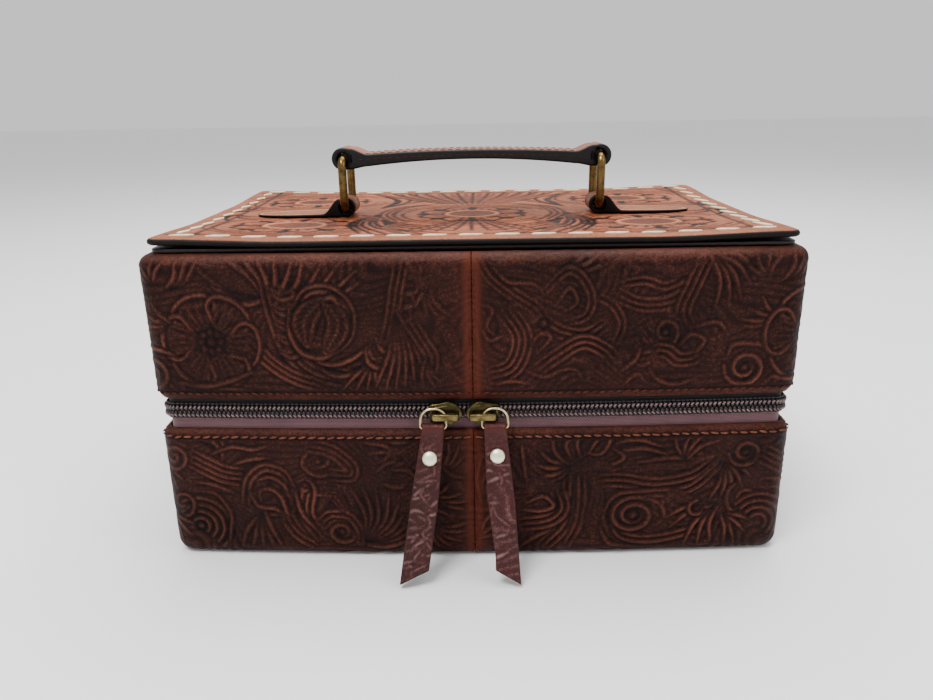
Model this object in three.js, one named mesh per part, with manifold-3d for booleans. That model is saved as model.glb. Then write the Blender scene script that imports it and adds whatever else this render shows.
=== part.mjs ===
// Leather jewellery case: a zipped, board-stiffened box with a tooled leather top and a strap handle.
// Millimetres, +X right, +Y to the back (hinge side), +Z up. The origin is the middle of the underside.
import * as THREE from 'three';
import { mergeVertices } from 'three/addons/utils/BufferGeometryUtils.js';
import Module from 'manifold-3d';

const wasm = await Module();
wasm.setup();

// ---------------------------------------------------------------- driving dimensions

const GAP = 0.3; // clearance between pieces that touch on the real case

// Plan of the case: a rounded rectangle whose front and sides are padded outwards.
const PLAN = { halfX: 114.5, halfY: 79, radius: 7, frontBow: 3, sideBow: 1 };
const STEPS = { front: 6, corner: 4, side: 4, back: 3 };

const BASE_TOP = 51.5; // upper edge of the base's leather
const LID_BOTTOM = 63; // lower edge of the lid's leather
const LID_TOP = 114.8; // flat of the lid's leather, under the tooled panel
const ZIP_Z = 58.2; // parting line of the zip, and height of the hinge line

const LEATHER = 1.8;
const BOARD = 2.4;
const LINING = 0.8;
const TAPE = 0.6;
const EDGE_ROLL = 2.6; // how far the leather's free edges roll in
const BASE_FOOT_RADIUS = 5;
const LID_SHOULDER_RADIUS = 4;

// Insets from the plan's outline, outside to inside.
const TAPE_INSET = LEATHER + 1.5;
const BOARD_INSET = TAPE_INSET + TAPE + GAP;
const LINING_INSET = BOARD_INSET + BOARD + GAP;
const CAVITY_INSET = LINING_INSET + LINING;
const TURN_IN = 12; // leather turned under the base and over the lid

const TAPE_DEPTH = 13; // tape hidden behind the leather and seen in the opening
const COIL = { inset: 1.6, depth: 1.4, height: 2.15 };

const PANEL = { halfX: 111, halfY: 74.5, radius: 4, thickness: 2, backing: 1.2 };
const PANEL_TOP = LID_TOP + 2 * GAP + PANEL.backing + PANEL.thickness;
const LACE = { inset: 6.3, width: 2.4, thickness: 0.4 };

const HANDLE = {
  ringX: 51.2, centreY: -11.5, wire: 1.7, legSpan: 21, ringHeight: 19.2, ringCorner: 3.2,
  holeRadius: 2.2, width: 16.4, eyeWall: 2.2,
};
// Strap's upper and lower faces at mid-length and at its eyes, from the middle of the rings' top bars.
const STRAP_FACES = { midTop: 2.95, endTop: 1.8, midBottom: -0.65, endBottom: -3.0, eyeRun: 10 };
const CHAPE = { wall: 1.5, length: 38, tongue: 2.6, tipRadius: 6 };
const RING_BAR_Z = PANEL_TOP + GAP + CHAPE.wall + HANDLE.holeRadius;
const RING_TOP_Z = RING_BAR_Z + HANDLE.ringHeight;

// Zip sliders: the noses meet a little left of the middle.
const SLIDER = { noseX: -3.2, length: 12, halfHeight: 4.4, tailHalf: 3.4, plate: 1.5, proud: 0.2 };
// Shoulder and nose of a slider: shares of its length behind the nose, and of its half height.
const SLIDER_NOSE = [[0.56, 0.93], [0.45, 1], [0.28, 0.83], [0.12, 0.5], [0.03, 0.2]];
const SLIDER_WAIST = { back: 0.72, rise: 0.2 };
const SLIDER_LIP = { tailMargin: 1, noseShare: 0.3, clear: 0.5, height: 1.2, sunk: 0.5, depth: 1.6 };
const BRIDGE = { rise: 3.7, halfY: 0.5, halfZ: 1.1, length: 9.6, tailMargin: 0.8, foot: 1.2, bevel: 0.7 };
const PULL_RING = { wire: 0.5, span: 9, tailOffset: 1.3, legTilt: 13.9 * Math.PI / 180, aboveBridge: 2.45 };
const TAB = { pivotZ: 54, thickness: 2.2, foldWidth: 7.8, slope: 16.8 * Math.PI / 180, holeRadius: 0.85 };
const RIVET = { cap: 2.6, crown: 1.1, shank: 0.8, hole: 1.1, back: 2.1 };

// Inside the base.
const DIVIDER = { thickness: 3, top: 45, longY: 19.5, frontX: -6.5, backX: 34.5 };
const RING_ROLL = { count: 5, height: 16, gap: 0.6 };
const MIRROR = { halfX: 72, halfY: 44, thickness: 2, frame: 7 };

const BOARD_CORNER = 6; // corner radius of the flat boards
const BASE_BOARD_BOTTOM = LEATHER + GAP;
const BASE_FLOOR = BASE_BOARD_BOTTOM + BOARD + GAP;
const LID_BOARD_TOP = LID_TOP - LEATHER - GAP;
const LID_CEILING = LID_BOARD_TOP - BOARD - GAP;

// ---------------------------------------------------------------- finishes

const finish = (color, roughness, metalness = 0) => new THREE.MeshStandardMaterial({
  color, roughness, metalness,
});
const EMBOSSED = finish('#4a251c', 0.5);
const TOOLED = finish('#b5785a', 0.55);
const STRAP = finish('#6b3a2a', 0.5);
const TAB_LEATHER = finish('#4a1f1e', 0.45);
const BOARD_GREY = finish('#8d8375', 0.9);
const SUEDE = finish('#7a5a45', 0.95);
const CUSHION = finish('#8a6850', 0.95);
const ZIP_TAPE = finish('#694c52', 0.9);
const ZIP_COIL = finish('#2a2024', 0.4);
const BRASS = finish('#8a6f35', 0.4, 1);
const PALE_BRASS = finish('#c9b98a', 0.35, 1);
const CREAM = finish('#e8dcc4', 0.6);
const SILVER = finish('#d9d4c8', 0.3, 1);
const MIRROR_GLASS = finish('#dfe6ea', 0.03, 1);

// ---------------------------------------------------------------- solids

/** Positions of a geometry as a manifold solid. */
function solid(geometry) {
  const bare = geometry.clone();
  bare.deleteAttribute('normal');
  bare.deleteAttribute('uv');
  const merged = mergeVertices(bare, 1e-5);
  return new wasm.Manifold(new wasm.Mesh({
    numProp: 3,
    vertProperties: new Float32Array(merged.attributes.position.array),
    triVerts: new Uint32Array(merged.index.array),
  }));
}

/** A manifold solid as a three.js geometry. */
function geometryOf(manifold) {
  const mesh = manifold.getMesh();
  const geometry = new THREE.BufferGeometry();
  geometry.setAttribute('position', new THREE.BufferAttribute(new Float32Array(mesh.vertProperties), 3));
  geometry.setIndex(new THREE.BufferAttribute(new Uint32Array(mesh.triVerts), 1));
  geometry.computeVertexNormals();
  return geometry;
}

/** Joins the first geometry with the second. */
const join = (a, b) => geometryOf(solid(a).add(solid(b)));

/** Cuts the second geometry out of the first. */
const cut = (a, b) => geometryOf(solid(a).subtract(solid(b)));

/** What the two geometries have in common. */
const common = (a, b) => geometryOf(solid(a).intersect(solid(b)));

/** An indexed geometry as seen in a mirror at x = 0. */
function mirrorX(geometry) {
  const turned = [];
  for (let i = 0; i < geometry.index.count; i += 3) {
    turned.push(geometry.index.getX(i), geometry.index.getX(i + 2), geometry.index.getX(i + 1));
  }
  geometry.scale(-1, 1, 1).setIndex(turned);
  return geometry;
}

/** A flat outline raised from z0 to z1. */
function slab(points, z0, z1, holes = []) {
  const shape = new THREE.Shape(points);
  shape.holes = holes.map((hole) => new THREE.Path(hole));
  const geometry = new THREE.ExtrudeGeometry(shape, { depth: z1 - z0, bevelEnabled: false });
  return geometry.translate(0, 0, z0);
}

/** An outline drawn in X and Z, with its thickness along Y from y0 to y1. */
function uprightSlab(points, y0, y1, holes = []) {
  return slab(points, -y1, -y0, holes).rotateX(Math.PI / 2);
}

/** A box between two corners. */
function block(x0, x1, y0, y1, z0, z1) {
  const box = new THREE.BoxGeometry(x1 - x0, y1 - y0, z1 - z0);
  return box.translate((x0 + x1) / 2, (y0 + y1) / 2, (z0 + z1) / 2);
}

/** Points of a circle, or of an arc of it, in a plane. */
function arc(cx, cy, radius, from = 0, to = 2 * Math.PI, steps = 12) {
  const closed = Math.abs(to - from - 2 * Math.PI) < 1e-6;
  return Array.from({ length: closed ? steps : steps + 1 }, (_, i) => {
    const angle = from + (to - from) * i / steps;
    return new THREE.Vector2(cx + radius * Math.cos(angle), cy + radius * Math.sin(angle));
  });
}

/** A rounded rectangle about the point (cx, cy), anticlockwise. */
function roundedRectangle(halfX, halfY, radius, steps = 3, cx = 0, cy = 0) {
  const corners = [[1, -1], [1, 1], [-1, 1], [-1, -1]];
  return corners.flatMap(([sx, sy], i) => arc(
    cx + sx * (halfX - radius), cy + sy * (halfY - radius), radius,
    (i - 1) * Math.PI / 2, i * Math.PI / 2, steps,
  ));
}

/** A solid through a row of loops with equally many points; its ends are capped or joined. */
function loft(loops, capOutline = null) {
  const count = loops[0].length;
  const positions = loops.flat().flatMap((p) => [p.x, p.y, p.z]);
  const faces = [];
  const spans = capOutline ? loops.length - 1 : loops.length;
  for (let i = 0; i < spans; i += 1) {
    const here = i * count;
    const next = ((i + 1) % loops.length) * count;
    for (let k = 0; k < count; k += 1) {
      const k1 = (k + 1) % count;
      faces.push([here + k, here + k1, next + k1], [here + k, next + k1, next + k]);
    }
  }
  if (capOutline) {
    const last = (loops.length - 1) * count;
    const turn = Math.sign(THREE.ShapeUtils.area(capOutline));
    for (const face of THREE.ShapeUtils.triangulateShape(capOutline, [])) {
      const sameTurn = turn * THREE.ShapeUtils.area(face.map((k) => capOutline[k])) > 0;
      const [a, b, c] = sameTurn ? face : face.slice().reverse();
      faces.push([c, b, a], [last + a, last + b, last + c]);
    }
  }
  const geometry = new THREE.BufferGeometry();
  geometry.setAttribute('position', new THREE.Float32BufferAttribute(positions, 3));
  geometry.setIndex(faces.flat());
  if (signedVolume(geometry) < 0) geometry.setIndex(faces.map(([a, b, c]) => [a, c, b]).flat());
  geometry.computeVertexNormals();
  return geometry;
}

/** Volume of a closed geometry, negative when its faces point inwards. */
function signedVolume(geometry) {
  const at = (i) => new THREE.Vector3().fromBufferAttribute(geometry.attributes.position, i);
  const index = geometry.index.array;
  let volume = 0;
  for (let i = 0; i < index.length; i += 3) {
    volume += at(index[i]).dot(at(index[i + 1]).cross(at(index[i + 2]))) / 6;
  }
  return volume;
}

// ---------------------------------------------------------------- plan outline

/** The outline's stretches on the right half, from the front seam to the back seam. */
function stretches(inset) {
  const x = PLAN.halfX - inset;
  const y = PLAN.halfY - inset;
  const radius = Math.max(PLAN.radius - inset, 1);
  const cx = x - radius;
  const cy = y - radius;
  const spaced = (steps) => Array.from({ length: steps + 1 }, (_, i) => i / steps);
  const crown = (t) => 1 - t * t;
  return {
    front: spaced(STEPS.front).map((t) => new THREE.Vector2(cx * t, -y - PLAN.frontBow * crown(t))),
    frontCorner: arc(cx, -cy, radius, -Math.PI / 2, 0, STEPS.corner),
    side: spaced(STEPS.side).map((s) => {
      const t = 2 * s - 1;
      return new THREE.Vector2(x + PLAN.sideBow * crown(t), cy * t);
    }),
    backCorner: arc(cx, cy, radius, 0, Math.PI / 2, STEPS.corner),
    back: spaced(STEPS.back).map((t) => new THREE.Vector2(cx * (1 - t), y)),
  };
}

const mirrored = (points) => points.map((p) => new THREE.Vector2(-p.x, p.y));

/** Drops points that repeat the one before them. */
const distinct = (points) => points.filter((p, i) => i === 0 || p.distanceTo(points[i - 1]) > 1e-6);

/** From the front seam round one side to the back seam, half a gap short of both. */
function halfOutline(inset, side) {
  const run = stretches(inset);
  const points = distinct([...run.front, ...run.frontCorner, ...run.side, ...run.backCorner, ...run.back]);
  points[0] = new THREE.Vector2(GAP / 2, points[0].y);
  points[points.length - 1] = new THREE.Vector2(GAP / 2, points[points.length - 1].y);
  return side > 0 ? points : mirrored(points);
}

/** The zip's way: from the left back corner round the front to the right back corner. */
function zipOutline(inset) {
  const run = stretches(inset);
  const right = distinct([...run.front, ...run.frontCorner, ...run.side, ...run.backCorner.slice(0, 3)]);
  return distinct([...mirrored(right).reverse(), ...right]);
}

/** The hinge leather's way: across the back, between the ends of the zip. */
function hingeOutline(inset) {
  const run = stretches(inset);
  const right = distinct([...run.backCorner.slice(3), ...run.back]);
  return distinct([...right, ...mirrored(right).reverse()]);
}

/** A band whose section (inset, height) is carried along one of the outlines above. */
function band(section, outline) {
  const lines = section.map(([inset, z]) => outline(inset).map((p) => new THREE.Vector3(p.x, p.y, z)));
  const loops = lines[0].map((_, i) => lines.map((line) => line[i]));
  return loft(loops, section.map(([inset, z]) => new THREE.Vector2(inset, z)));
}

/** Section points of a quarter round of the given radius, from angle a0 to a1. */
const quarter = (inset, z, radius, a0, a1) => arc(inset, z, radius, a0, a1, 3).map((p) => [p.x, p.y]);

// ---------------------------------------------------------------- leather shell

/** Embossed leather of the base: rolled rim, wall and turned-under foot. */
function baseLeather(side) {
  const r = BASE_FOOT_RADIUS;
  const section = [
    [TURN_IN, 0], ...quarter(r, r, r, 1.5 * Math.PI, Math.PI),
    [0, BASE_TOP - 4], [0.8, BASE_TOP - 1.3], [EDGE_ROLL, BASE_TOP],
    [EDGE_ROLL + GAP, BASE_TOP - 0.4], [LEATHER, BASE_TOP - 4],
    ...quarter(r, r, r - LEATHER, Math.PI, 1.5 * Math.PI), [TURN_IN, LEATHER],
  ];
  return band(section, (inset) => halfOutline(inset, side));
}

/** Embossed leather of the lid: rolled rim, wall and shoulder turned over the top. */
function lidLeather(side) {
  const r = LID_SHOULDER_RADIUS;
  const shoulder = LID_TOP - r;
  const section = [
    [EDGE_ROLL, LID_BOTTOM], [0.8, LID_BOTTOM + 1.3], [0, LID_BOTTOM + 4],
    ...quarter(r, shoulder, r, Math.PI, Math.PI / 2), [TURN_IN + 2, LID_TOP],
    [TURN_IN + 2, LID_TOP - LEATHER], ...quarter(r, shoulder, r - LEATHER, Math.PI / 2, Math.PI),
    [LEATHER, LID_BOTTOM + 4], [EDGE_ROLL + GAP, LID_BOTTOM + 0.4],
  ];
  return band(section, (inset) => halfOutline(inset, side));
}

/** Flat leather of the underside, inside the turned-under foot. */
function bottomLeather() {
  const inset = TURN_IN + GAP;
  return slab(roundedRectangle(PLAN.halfX - inset, PLAN.halfY - inset, 3), 0, LEATHER);
}

// ---------------------------------------------------------------- boards and linings

/** Upright board between two of the case's corners, its foam facing bowed outwards. */
function paddedBoard(halfPlan, faceInset, bow, z0, z1) {
  const steps = 6;
  const straight = halfPlan - PLAN.radius;
  const outer = Array.from({ length: steps + 1 }, (_, i) => {
    const t = 2 * i / steps - 1;
    return new THREE.Vector2(straight * t, -BOARD - bow * (1 - t * t));
  });
  const outline = [...outer, new THREE.Vector2(straight, 0), new THREE.Vector2(-straight, 0)];
  return slab(outline, z0, z1).translate(0, -faceInset, 0);
}

/** Four upright boards of the base or the lid, keyed by the wall they stiffen. */
function wallBoards(z0, z1) {
  const innerY = PLAN.halfY - BOARD_INSET - BOARD;
  const innerX = PLAN.halfX - BOARD_INSET - BOARD;
  const padding = 0.75; // share of the outline's bow that the foam fills
  return {
    front: paddedBoard(PLAN.halfX, innerY, PLAN.frontBow * padding, z0, z1),
    back: paddedBoard(PLAN.halfX, innerY, 0, z0, z1).rotateZ(Math.PI),
    left: paddedBoard(PLAN.halfY, innerX, PLAN.sideBow * padding, z0, z1).rotateZ(-Math.PI / 2),
    right: paddedBoard(PLAN.halfY, innerX, PLAN.sideBow * padding, z0, z1).rotateZ(Math.PI / 2),
  };
}

/** Flat board under the floor or over the ceiling. */
function flatBoard(z0) {
  const inset = BOARD_INSET + GAP;
  return slab(roundedRectangle(PLAN.halfX - inset, PLAN.halfY - inset, BOARD_CORNER), z0, z0 + BOARD);
}

/** Tray-shaped lining: four walls and a floor, or a ceiling when it is turned over. */
function lining(z0, z1, flatAtTop) {
  const outline = (inset) => roundedRectangle(PLAN.halfX - inset, PLAN.halfY - inset, 1, 2);
  const hollow = flatAtTop ? [z0 - 1, z1 - LINING] : [z0 + LINING, z1 + 1];
  return cut(slab(outline(LINING_INSET), z0, z1), slab(outline(CAVITY_INSET), ...hollow));
}

// ---------------------------------------------------------------- zip and hinge

/** Woven tape of the zip, sewn behind the leather's edge. */
function zipTape(z0, z1) {
  const section = [[TAPE_INSET, z0], [TAPE_INSET + TAPE, z0], [TAPE_INSET + TAPE, z1], [TAPE_INSET, z1]];
  return band(section, zipOutline);
}

/** Row of coil teeth on the face of its tape. */
function zipCoil(z0, z1) {
  const outer = COIL.inset;
  const inner = COIL.inset + COIL.depth;
  const round = 0.4;
  const section = [
    [inner, z0], [inner, z1], [outer + round, z1], [outer, z1 - round], [outer, z0 + round], [outer + round, z0],
  ];
  return band(section, zipOutline);
}

/** Half of the hinge leather, above or below the hinge line. */
function hingeLeather(z0, z1) {
  const section = [[TAPE_INSET, z0], [TAPE_INSET + TAPE, z0], [TAPE_INSET + TAPE, z1], [TAPE_INSET, z1]];
  return band(section, hingeOutline);
}

/** Depth of the face in front of x, at the plan's corner line. */
function faceY(x) {
  const t = x / (PLAN.halfX - PLAN.radius);
  return -PLAN.halfY - PLAN.frontBow * (1 - t * t);
}

const PLATE_Y = faceY(0) - SLIDER.proud; // outer face of the sliders' plates
const BRIDGE_Y = PLATE_Y - BRIDGE.rise;

/** Slider with its nose towards +X at x = 0: plate, lower lip and the bridge that holds the pull ring. */
function slider() {
  const { length, halfHeight, tailHalf, plate } = SLIDER;
  const upper = [
    [-length, tailHalf], [-length * SLIDER_WAIST.back, tailHalf + SLIDER_WAIST.rise],
    ...SLIDER_NOSE.map(([back, high]) => [-length * back, halfHeight * high]),
  ];
  const lower = upper.map(([x, z]) => [x, -z]).reverse();
  const outline = [...upper, ...lower].map(([x, z]) => new THREE.Vector2(x, z));
  const body = uprightSlab(outline, PLATE_Y, PLATE_Y + plate);
  const lipTop = -COIL.height - SLIDER_LIP.clear;
  const lip = block(
    -length + SLIDER_LIP.tailMargin, -length * SLIDER_LIP.noseShare,
    PLATE_Y + plate - SLIDER_LIP.sunk, PLATE_Y + plate + SLIDER_LIP.depth, lipTop - SLIDER_LIP.height, lipTop,
  );
  const x0 = -length + BRIDGE.tailMargin;
  const x1 = x0 + BRIDGE.length;
  const { foot, bevel } = BRIDGE;
  const sunk = PLATE_Y + plate / 2;
  const staple = [
    [x0, sunk], [x0, BRIDGE_Y + 0.2], [x0 + bevel, BRIDGE_Y - BRIDGE.halfY],
    [x1 - bevel, BRIDGE_Y - BRIDGE.halfY], [x1, BRIDGE_Y + 0.2], [x1, sunk], [x1 - foot, sunk], [x1 - foot, BRIDGE_Y + BRIDGE.halfY],
    [x0 + foot, BRIDGE_Y + BRIDGE.halfY], [x0 + foot, sunk],
  ].map(([x, y]) => new THREE.Vector2(x, y));
  const bridge = slab(staple, -BRIDGE.halfZ, BRIDGE.halfZ);
  return join(join(body, lip), bridge).translate(0, 0, ZIP_Z);
}

/** A round wire bent along a closed flat line in X and Z, about its own middle. */
function wireLoop(line, radius, sides) {
  const up = new THREE.Vector3(0, 1, 0);
  return loft(line.map((p, i) => {
    const before = line[(i + line.length - 1) % line.length];
    const after = line[(i + 1) % line.length];
    const along = new THREE.Vector2().subVectors(after, before).normalize();
    const outward = new THREE.Vector3(along.y, 0, -along.x);
    return arc(0, 0, radius, 0, 2 * Math.PI, sides).map((q) => new THREE.Vector3(p.x, 0, p.y)
      .addScaledVector(outward, q.x).addScaledVector(up, q.y));
  }));
}

const PULL_Y = BRIDGE_Y + 0.7; // the pull ring's lower bar, where the leather tab folds round it
const PULL_RISE = (ZIP_Z + PULL_RING.aboveBridge - TAB.pivotZ) / Math.cos(PULL_RING.legTilt);

/** Pull ring: its inner leg passes behind the bridge and its arch goes over the slider's tail. */
function pullRing() {
  const half = PULL_RING.span / 2;
  const line = [
    ...arc(-half + 1, 1, 1, Math.PI, 1.5 * Math.PI, 2),
    ...arc(half - 1, 1, 1, 1.5 * Math.PI, 2 * Math.PI, 2),
    ...arc(half - 4, PULL_RISE - 4, 4, 0, Math.PI / 2, 4),
    ...arc(-half + 4, PULL_RISE - 4, 4, Math.PI / 2, Math.PI, 4),
  ];
  return wireLoop(distinct(line), PULL_RING.wire, 6).rotateX(-PULL_RING.legTilt);
}

/** Leather tab folded over the pull ring: `points` are its long edges below the fold, in its own plane. */
function pullTab(points, rivetX, rivetDrop) {
  const half = TAB.foldWidth / 2;
  const wall = TAB.thickness / 2;
  const eye = new THREE.ExtrudeGeometry(
    new THREE.Shape(arc(0, 0, TAB.holeRadius + wall, 0, 2 * Math.PI, 14)),
    { depth: TAB.foldWidth, bevelEnabled: false },
  ).rotateY(Math.PI / 2).translate(-half, 0, 0);
  const strip = uprightSlab(points.map(([x, z]) => new THREE.Vector2(x, z)), -wall, wall);
  const barHole = new THREE.CylinderGeometry(TAB.holeRadius, TAB.holeRadius, 20, 10).rotateZ(Math.PI / 2);
  const rivetHole = new THREE.CylinderGeometry(RIVET.hole, RIVET.hole, 10, 10).translate(rivetX, 0, -rivetDrop);
  return cut(cut(join(eye, strip), barHole), rivetHole).rotateX(-TAB.slope);
}

/** Rivet through the tab: domed cap in front, shank, and a flat cap behind. */
function pullRivet(rivetX, rivetDrop) {
  const front = TAB.thickness / 2 + 0.25;
  const profile = [
    [0, -front - 0.6], [RIVET.back, -front - 0.6], [RIVET.back, -front], [RIVET.shank, -front],
    [RIVET.shank, front], [RIVET.cap, front], [RIVET.cap * 0.92, front + 0.5],
    [RIVET.cap * 0.6, front + RIVET.crown * 0.85], [0, front + RIVET.crown],
  ].map(([r, z]) => new THREE.Vector2(r, z));
  return new THREE.LatheGeometry(profile, 14).rotateX(Math.PI)
    .translate(rivetX, 0, -rivetDrop).rotateX(-TAB.slope);
}

// ---------------------------------------------------------------- top panel and handle

/** Outline of the tooled panel, drawn in by the given inset. */
const panelOutline = (inset) => roundedRectangle(
  PANEL.halfX - inset, PANEL.halfY - inset, Math.max(PANEL.radius - inset, 1),
);

/** Buckstitch lace, as one thin frame that lies on the panel's border. */
function lace() {
  const z0 = PANEL_TOP + GAP;
  return slab(panelOutline(LACE.inset), z0, z0 + LACE.thickness, [panelOutline(LACE.inset + LACE.width)]);
}

/** Leather tongue on the left: a loop round the ring's bar, doubled outwards to a rounded tip. */
function chape() {
  const eyeRadius = HANDLE.holeRadius + CHAPE.wall;
  const bottom = PANEL_TOP + GAP;
  const tip = -CHAPE.length;
  const profile = [
    ...arc(0, RING_BAR_Z, eyeRadius, -Math.PI / 2, 0.75 * Math.PI, 10),
    new THREE.Vector2(-5.2, bottom + CHAPE.tongue + 1.0), new THREE.Vector2(-8.5, bottom + CHAPE.tongue),
    new THREE.Vector2(tip, bottom + CHAPE.tongue - 0.6), new THREE.Vector2(tip, bottom),
  ];
  const half = HANDLE.width / 2;
  const side = uprightSlab(profile, -half, half, [arc(0, RING_BAR_Z, HANDLE.holeRadius)]);
  const plan = [
    new THREE.Vector2(8, -half), new THREE.Vector2(8, half),
    new THREE.Vector2(tip + 2 * CHAPE.tipRadius, half),
    ...arc(tip + CHAPE.tipRadius, 0, CHAPE.tipRadius, 0.75 * Math.PI, 1.25 * Math.PI, 5),
    new THREE.Vector2(tip + 2 * CHAPE.tipRadius, -half),
  ];
  return common(side, slab(plan, bottom - 1, bottom + 20));
}

/** Handle ring of round bar, in the plane across the case. */
function handleRing() {
  const line = roundedRectangle(
    HANDLE.legSpan / 2, HANDLE.ringHeight / 2, HANDLE.ringCorner, 4, 0, HANDLE.ringHeight / 2,
  );
  return wireLoop(line, HANDLE.wire, 8).rotateZ(Math.PI / 2);
}

/** Strap handle: slightly arched, with an eye rolled round the top bar of each ring. */
function handleStrap() {
  const eye = HANDLE.holeRadius + HANDLE.eyeWall;
  const run = HANDLE.ringX - STRAP_FACES.eyeRun;
  const steps = 8;
  const face = (middle, end) => Array.from({ length: steps + 1 }, (_, i) => {
    const t = 2 * i / steps - 1;
    return new THREE.Vector2(run * t, middle + (end - middle) * t * t);
  });
  const underside = face(STRAP_FACES.midBottom, STRAP_FACES.endBottom);
  const topside = face(STRAP_FACES.midTop, STRAP_FACES.endTop).reverse();
  const leftEye = arc(-HANDLE.ringX, 0, eye, Math.PI / 3, 1.6 * Math.PI, 9);
  const outline = [...underside, ...mirrored(leftEye).reverse(), ...topside, ...leftEye];
  const holes = [-1, 1].map((side) => arc(side * HANDLE.ringX, 0, HANDLE.holeRadius));
  return uprightSlab(outline, -HANDLE.width / 2, HANDLE.width / 2, holes);
}

// ---------------------------------------------------------------- inside

/** Ring cushion: a foam roll with a flat underside. */
function ringRoll(width, length) {
  const half = width / 2;
  const shoulder = RING_ROLL.height - half;
  const section = [
    new THREE.Vector2(-half + 1, 0), new THREE.Vector2(half - 1, 0), new THREE.Vector2(half, 1.5),
    ...arc(0, shoulder, half, 0, Math.PI, 8), new THREE.Vector2(-half, 1.5),
  ];
  return slab(distinct(section), 0, length).rotateX(Math.PI / 2).rotateZ(Math.PI / 2);
}

/** Frame that holds the mirror to the lid's lining. */
function mirrorFrame(z0, z1) {
  const outer = roundedRectangle(MIRROR.halfX + MIRROR.frame, MIRROR.halfY + MIRROR.frame, 4);
  const inner = roundedRectangle(MIRROR.halfX + GAP, MIRROR.halfY + GAP, 1.3);
  return slab(outer, z0, z1, [inner]);
}

// ---------------------------------------------------------------- assembly

const jewelleryCase = new THREE.Group();

/** Adds one named sub-part to a group. */
function add(group, name, geometry, material, position = [0, 0, 0]) {
  const mesh = new THREE.Mesh(geometry, material);
  mesh.name = name;
  mesh.position.set(...position);
  group.add(mesh);
  return mesh;
}

function buildBase(base) {
  add(base, 'base_leather_left', baseLeather(-1), EMBOSSED);
  add(base, 'base_leather_right', baseLeather(1), EMBOSSED);
  add(base, 'base_bottom_leather', bottomLeather(), EMBOSSED);
  add(base, 'base_bottom_board', flatBoard(BASE_BOARD_BOTTOM), BOARD_GREY);
  for (const [wall, geometry] of Object.entries(wallBoards(BASE_FLOOR, BASE_TOP - 4.5))) {
    add(base, `base_${wall}_board`, geometry, BOARD_GREY);
  }
  add(base, 'base_lining', lining(BASE_FLOOR, BASE_TOP - 2.5, false), SUEDE);
  add(base, 'zip_tape_lower', zipTape(ZIP_Z - TAPE_DEPTH, ZIP_Z - GAP), ZIP_TAPE);
  add(base, 'zip_coil_lower', zipCoil(ZIP_Z - GAP / 2 - COIL.height, ZIP_Z - GAP / 2), ZIP_COIL);
  add(base, 'hinge_leather_base', hingeLeather(ZIP_Z - TAPE_DEPTH, ZIP_Z - GAP), EMBOSSED);
}

function buildInside(base) {
  const floor = BASE_FLOOR + LINING + GAP;
  const halfX = PLAN.halfX - CAVITY_INSET - 2 * GAP;
  const halfY = PLAN.halfY - CAVITY_INSET - 2 * GAP;
  const half = DIVIDER.thickness / 2;
  const { longY, frontX, backX, top } = DIVIDER;
  add(base, 'divider_long', block(-halfX, halfX, longY - half, longY + half, floor, top), SUEDE);
  const frontEnd = longY - half - GAP;
  const backStart = longY + half + GAP;
  add(base, 'divider_front', block(frontX - half, frontX + half, -halfY, frontEnd, floor, top), SUEDE);
  for (const [name, x] of [['divider_back_left', -backX], ['divider_back_right', backX]]) {
    add(base, name, block(x - half, x + half, backStart, halfY, floor, top), SUEDE);
  }
  const pitch = (frontEnd + halfY) / RING_ROLL.count;
  const length = frontX - half - GAP + halfX;
  for (let i = 0; i < RING_ROLL.count; i += 1) {
    const roll = ringRoll(pitch - RING_ROLL.gap, length);
    add(base, `ring_roll_${i + 1}`, roll, CUSHION, [-halfX, -halfY + pitch * (i + 0.5), floor]);
  }
}

function buildLid(lid) {
  add(lid, 'lid_leather_left', lidLeather(-1), EMBOSSED);
  add(lid, 'lid_leather_right', lidLeather(1), EMBOSSED);
  add(lid, 'lid_top_board', flatBoard(LID_BOARD_TOP - BOARD), BOARD_GREY);
  for (const [wall, geometry] of Object.entries(wallBoards(LID_BOTTOM + 4, LID_CEILING))) {
    add(lid, `lid_${wall}_board`, geometry, BOARD_GREY);
  }
  add(lid, 'lid_lining', lining(LID_BOTTOM + 3, LID_CEILING, true), SUEDE);
  add(lid, 'zip_tape_upper', zipTape(ZIP_Z + GAP, ZIP_Z + TAPE_DEPTH), ZIP_TAPE);
  add(lid, 'zip_coil_upper', zipCoil(ZIP_Z + GAP / 2, ZIP_Z + GAP / 2 + COIL.height), ZIP_COIL);
  add(lid, 'hinge_leather_lid', hingeLeather(ZIP_Z + GAP, ZIP_Z + TAPE_DEPTH), EMBOSSED);
  const backingBottom = LID_TOP + GAP;
  const backingTop = backingBottom + PANEL.backing;
  add(lid, 'top_panel_backing', slab(panelOutline(0.5), backingBottom, backingTop), STRAP);
  add(lid, 'top_panel', slab(panelOutline(0), PANEL_TOP - PANEL.thickness, PANEL_TOP), TOOLED);
  add(lid, 'buckstitch_lace', lace(), CREAM);
  add(lid, 'chape_left', chape(), STRAP, [-HANDLE.ringX, HANDLE.centreY, 0]);
  const rightChape = add(lid, 'chape_right', chape(), STRAP, [HANDLE.ringX, HANDLE.centreY, 0]);
  rightChape.rotation.z = Math.PI;
  const mirrorTop = LID_CEILING - LINING - GAP;
  const mirrorBottom = mirrorTop - MIRROR.thickness;
  const glass = slab(roundedRectangle(MIRROR.halfX, MIRROR.halfY, 1), mirrorBottom, mirrorTop);
  add(lid, 'mirror', glass, MIRROR_GLASS);
  add(lid, 'mirror_frame', mirrorFrame(mirrorBottom - 0.6, mirrorTop), STRAP);
}

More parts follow.
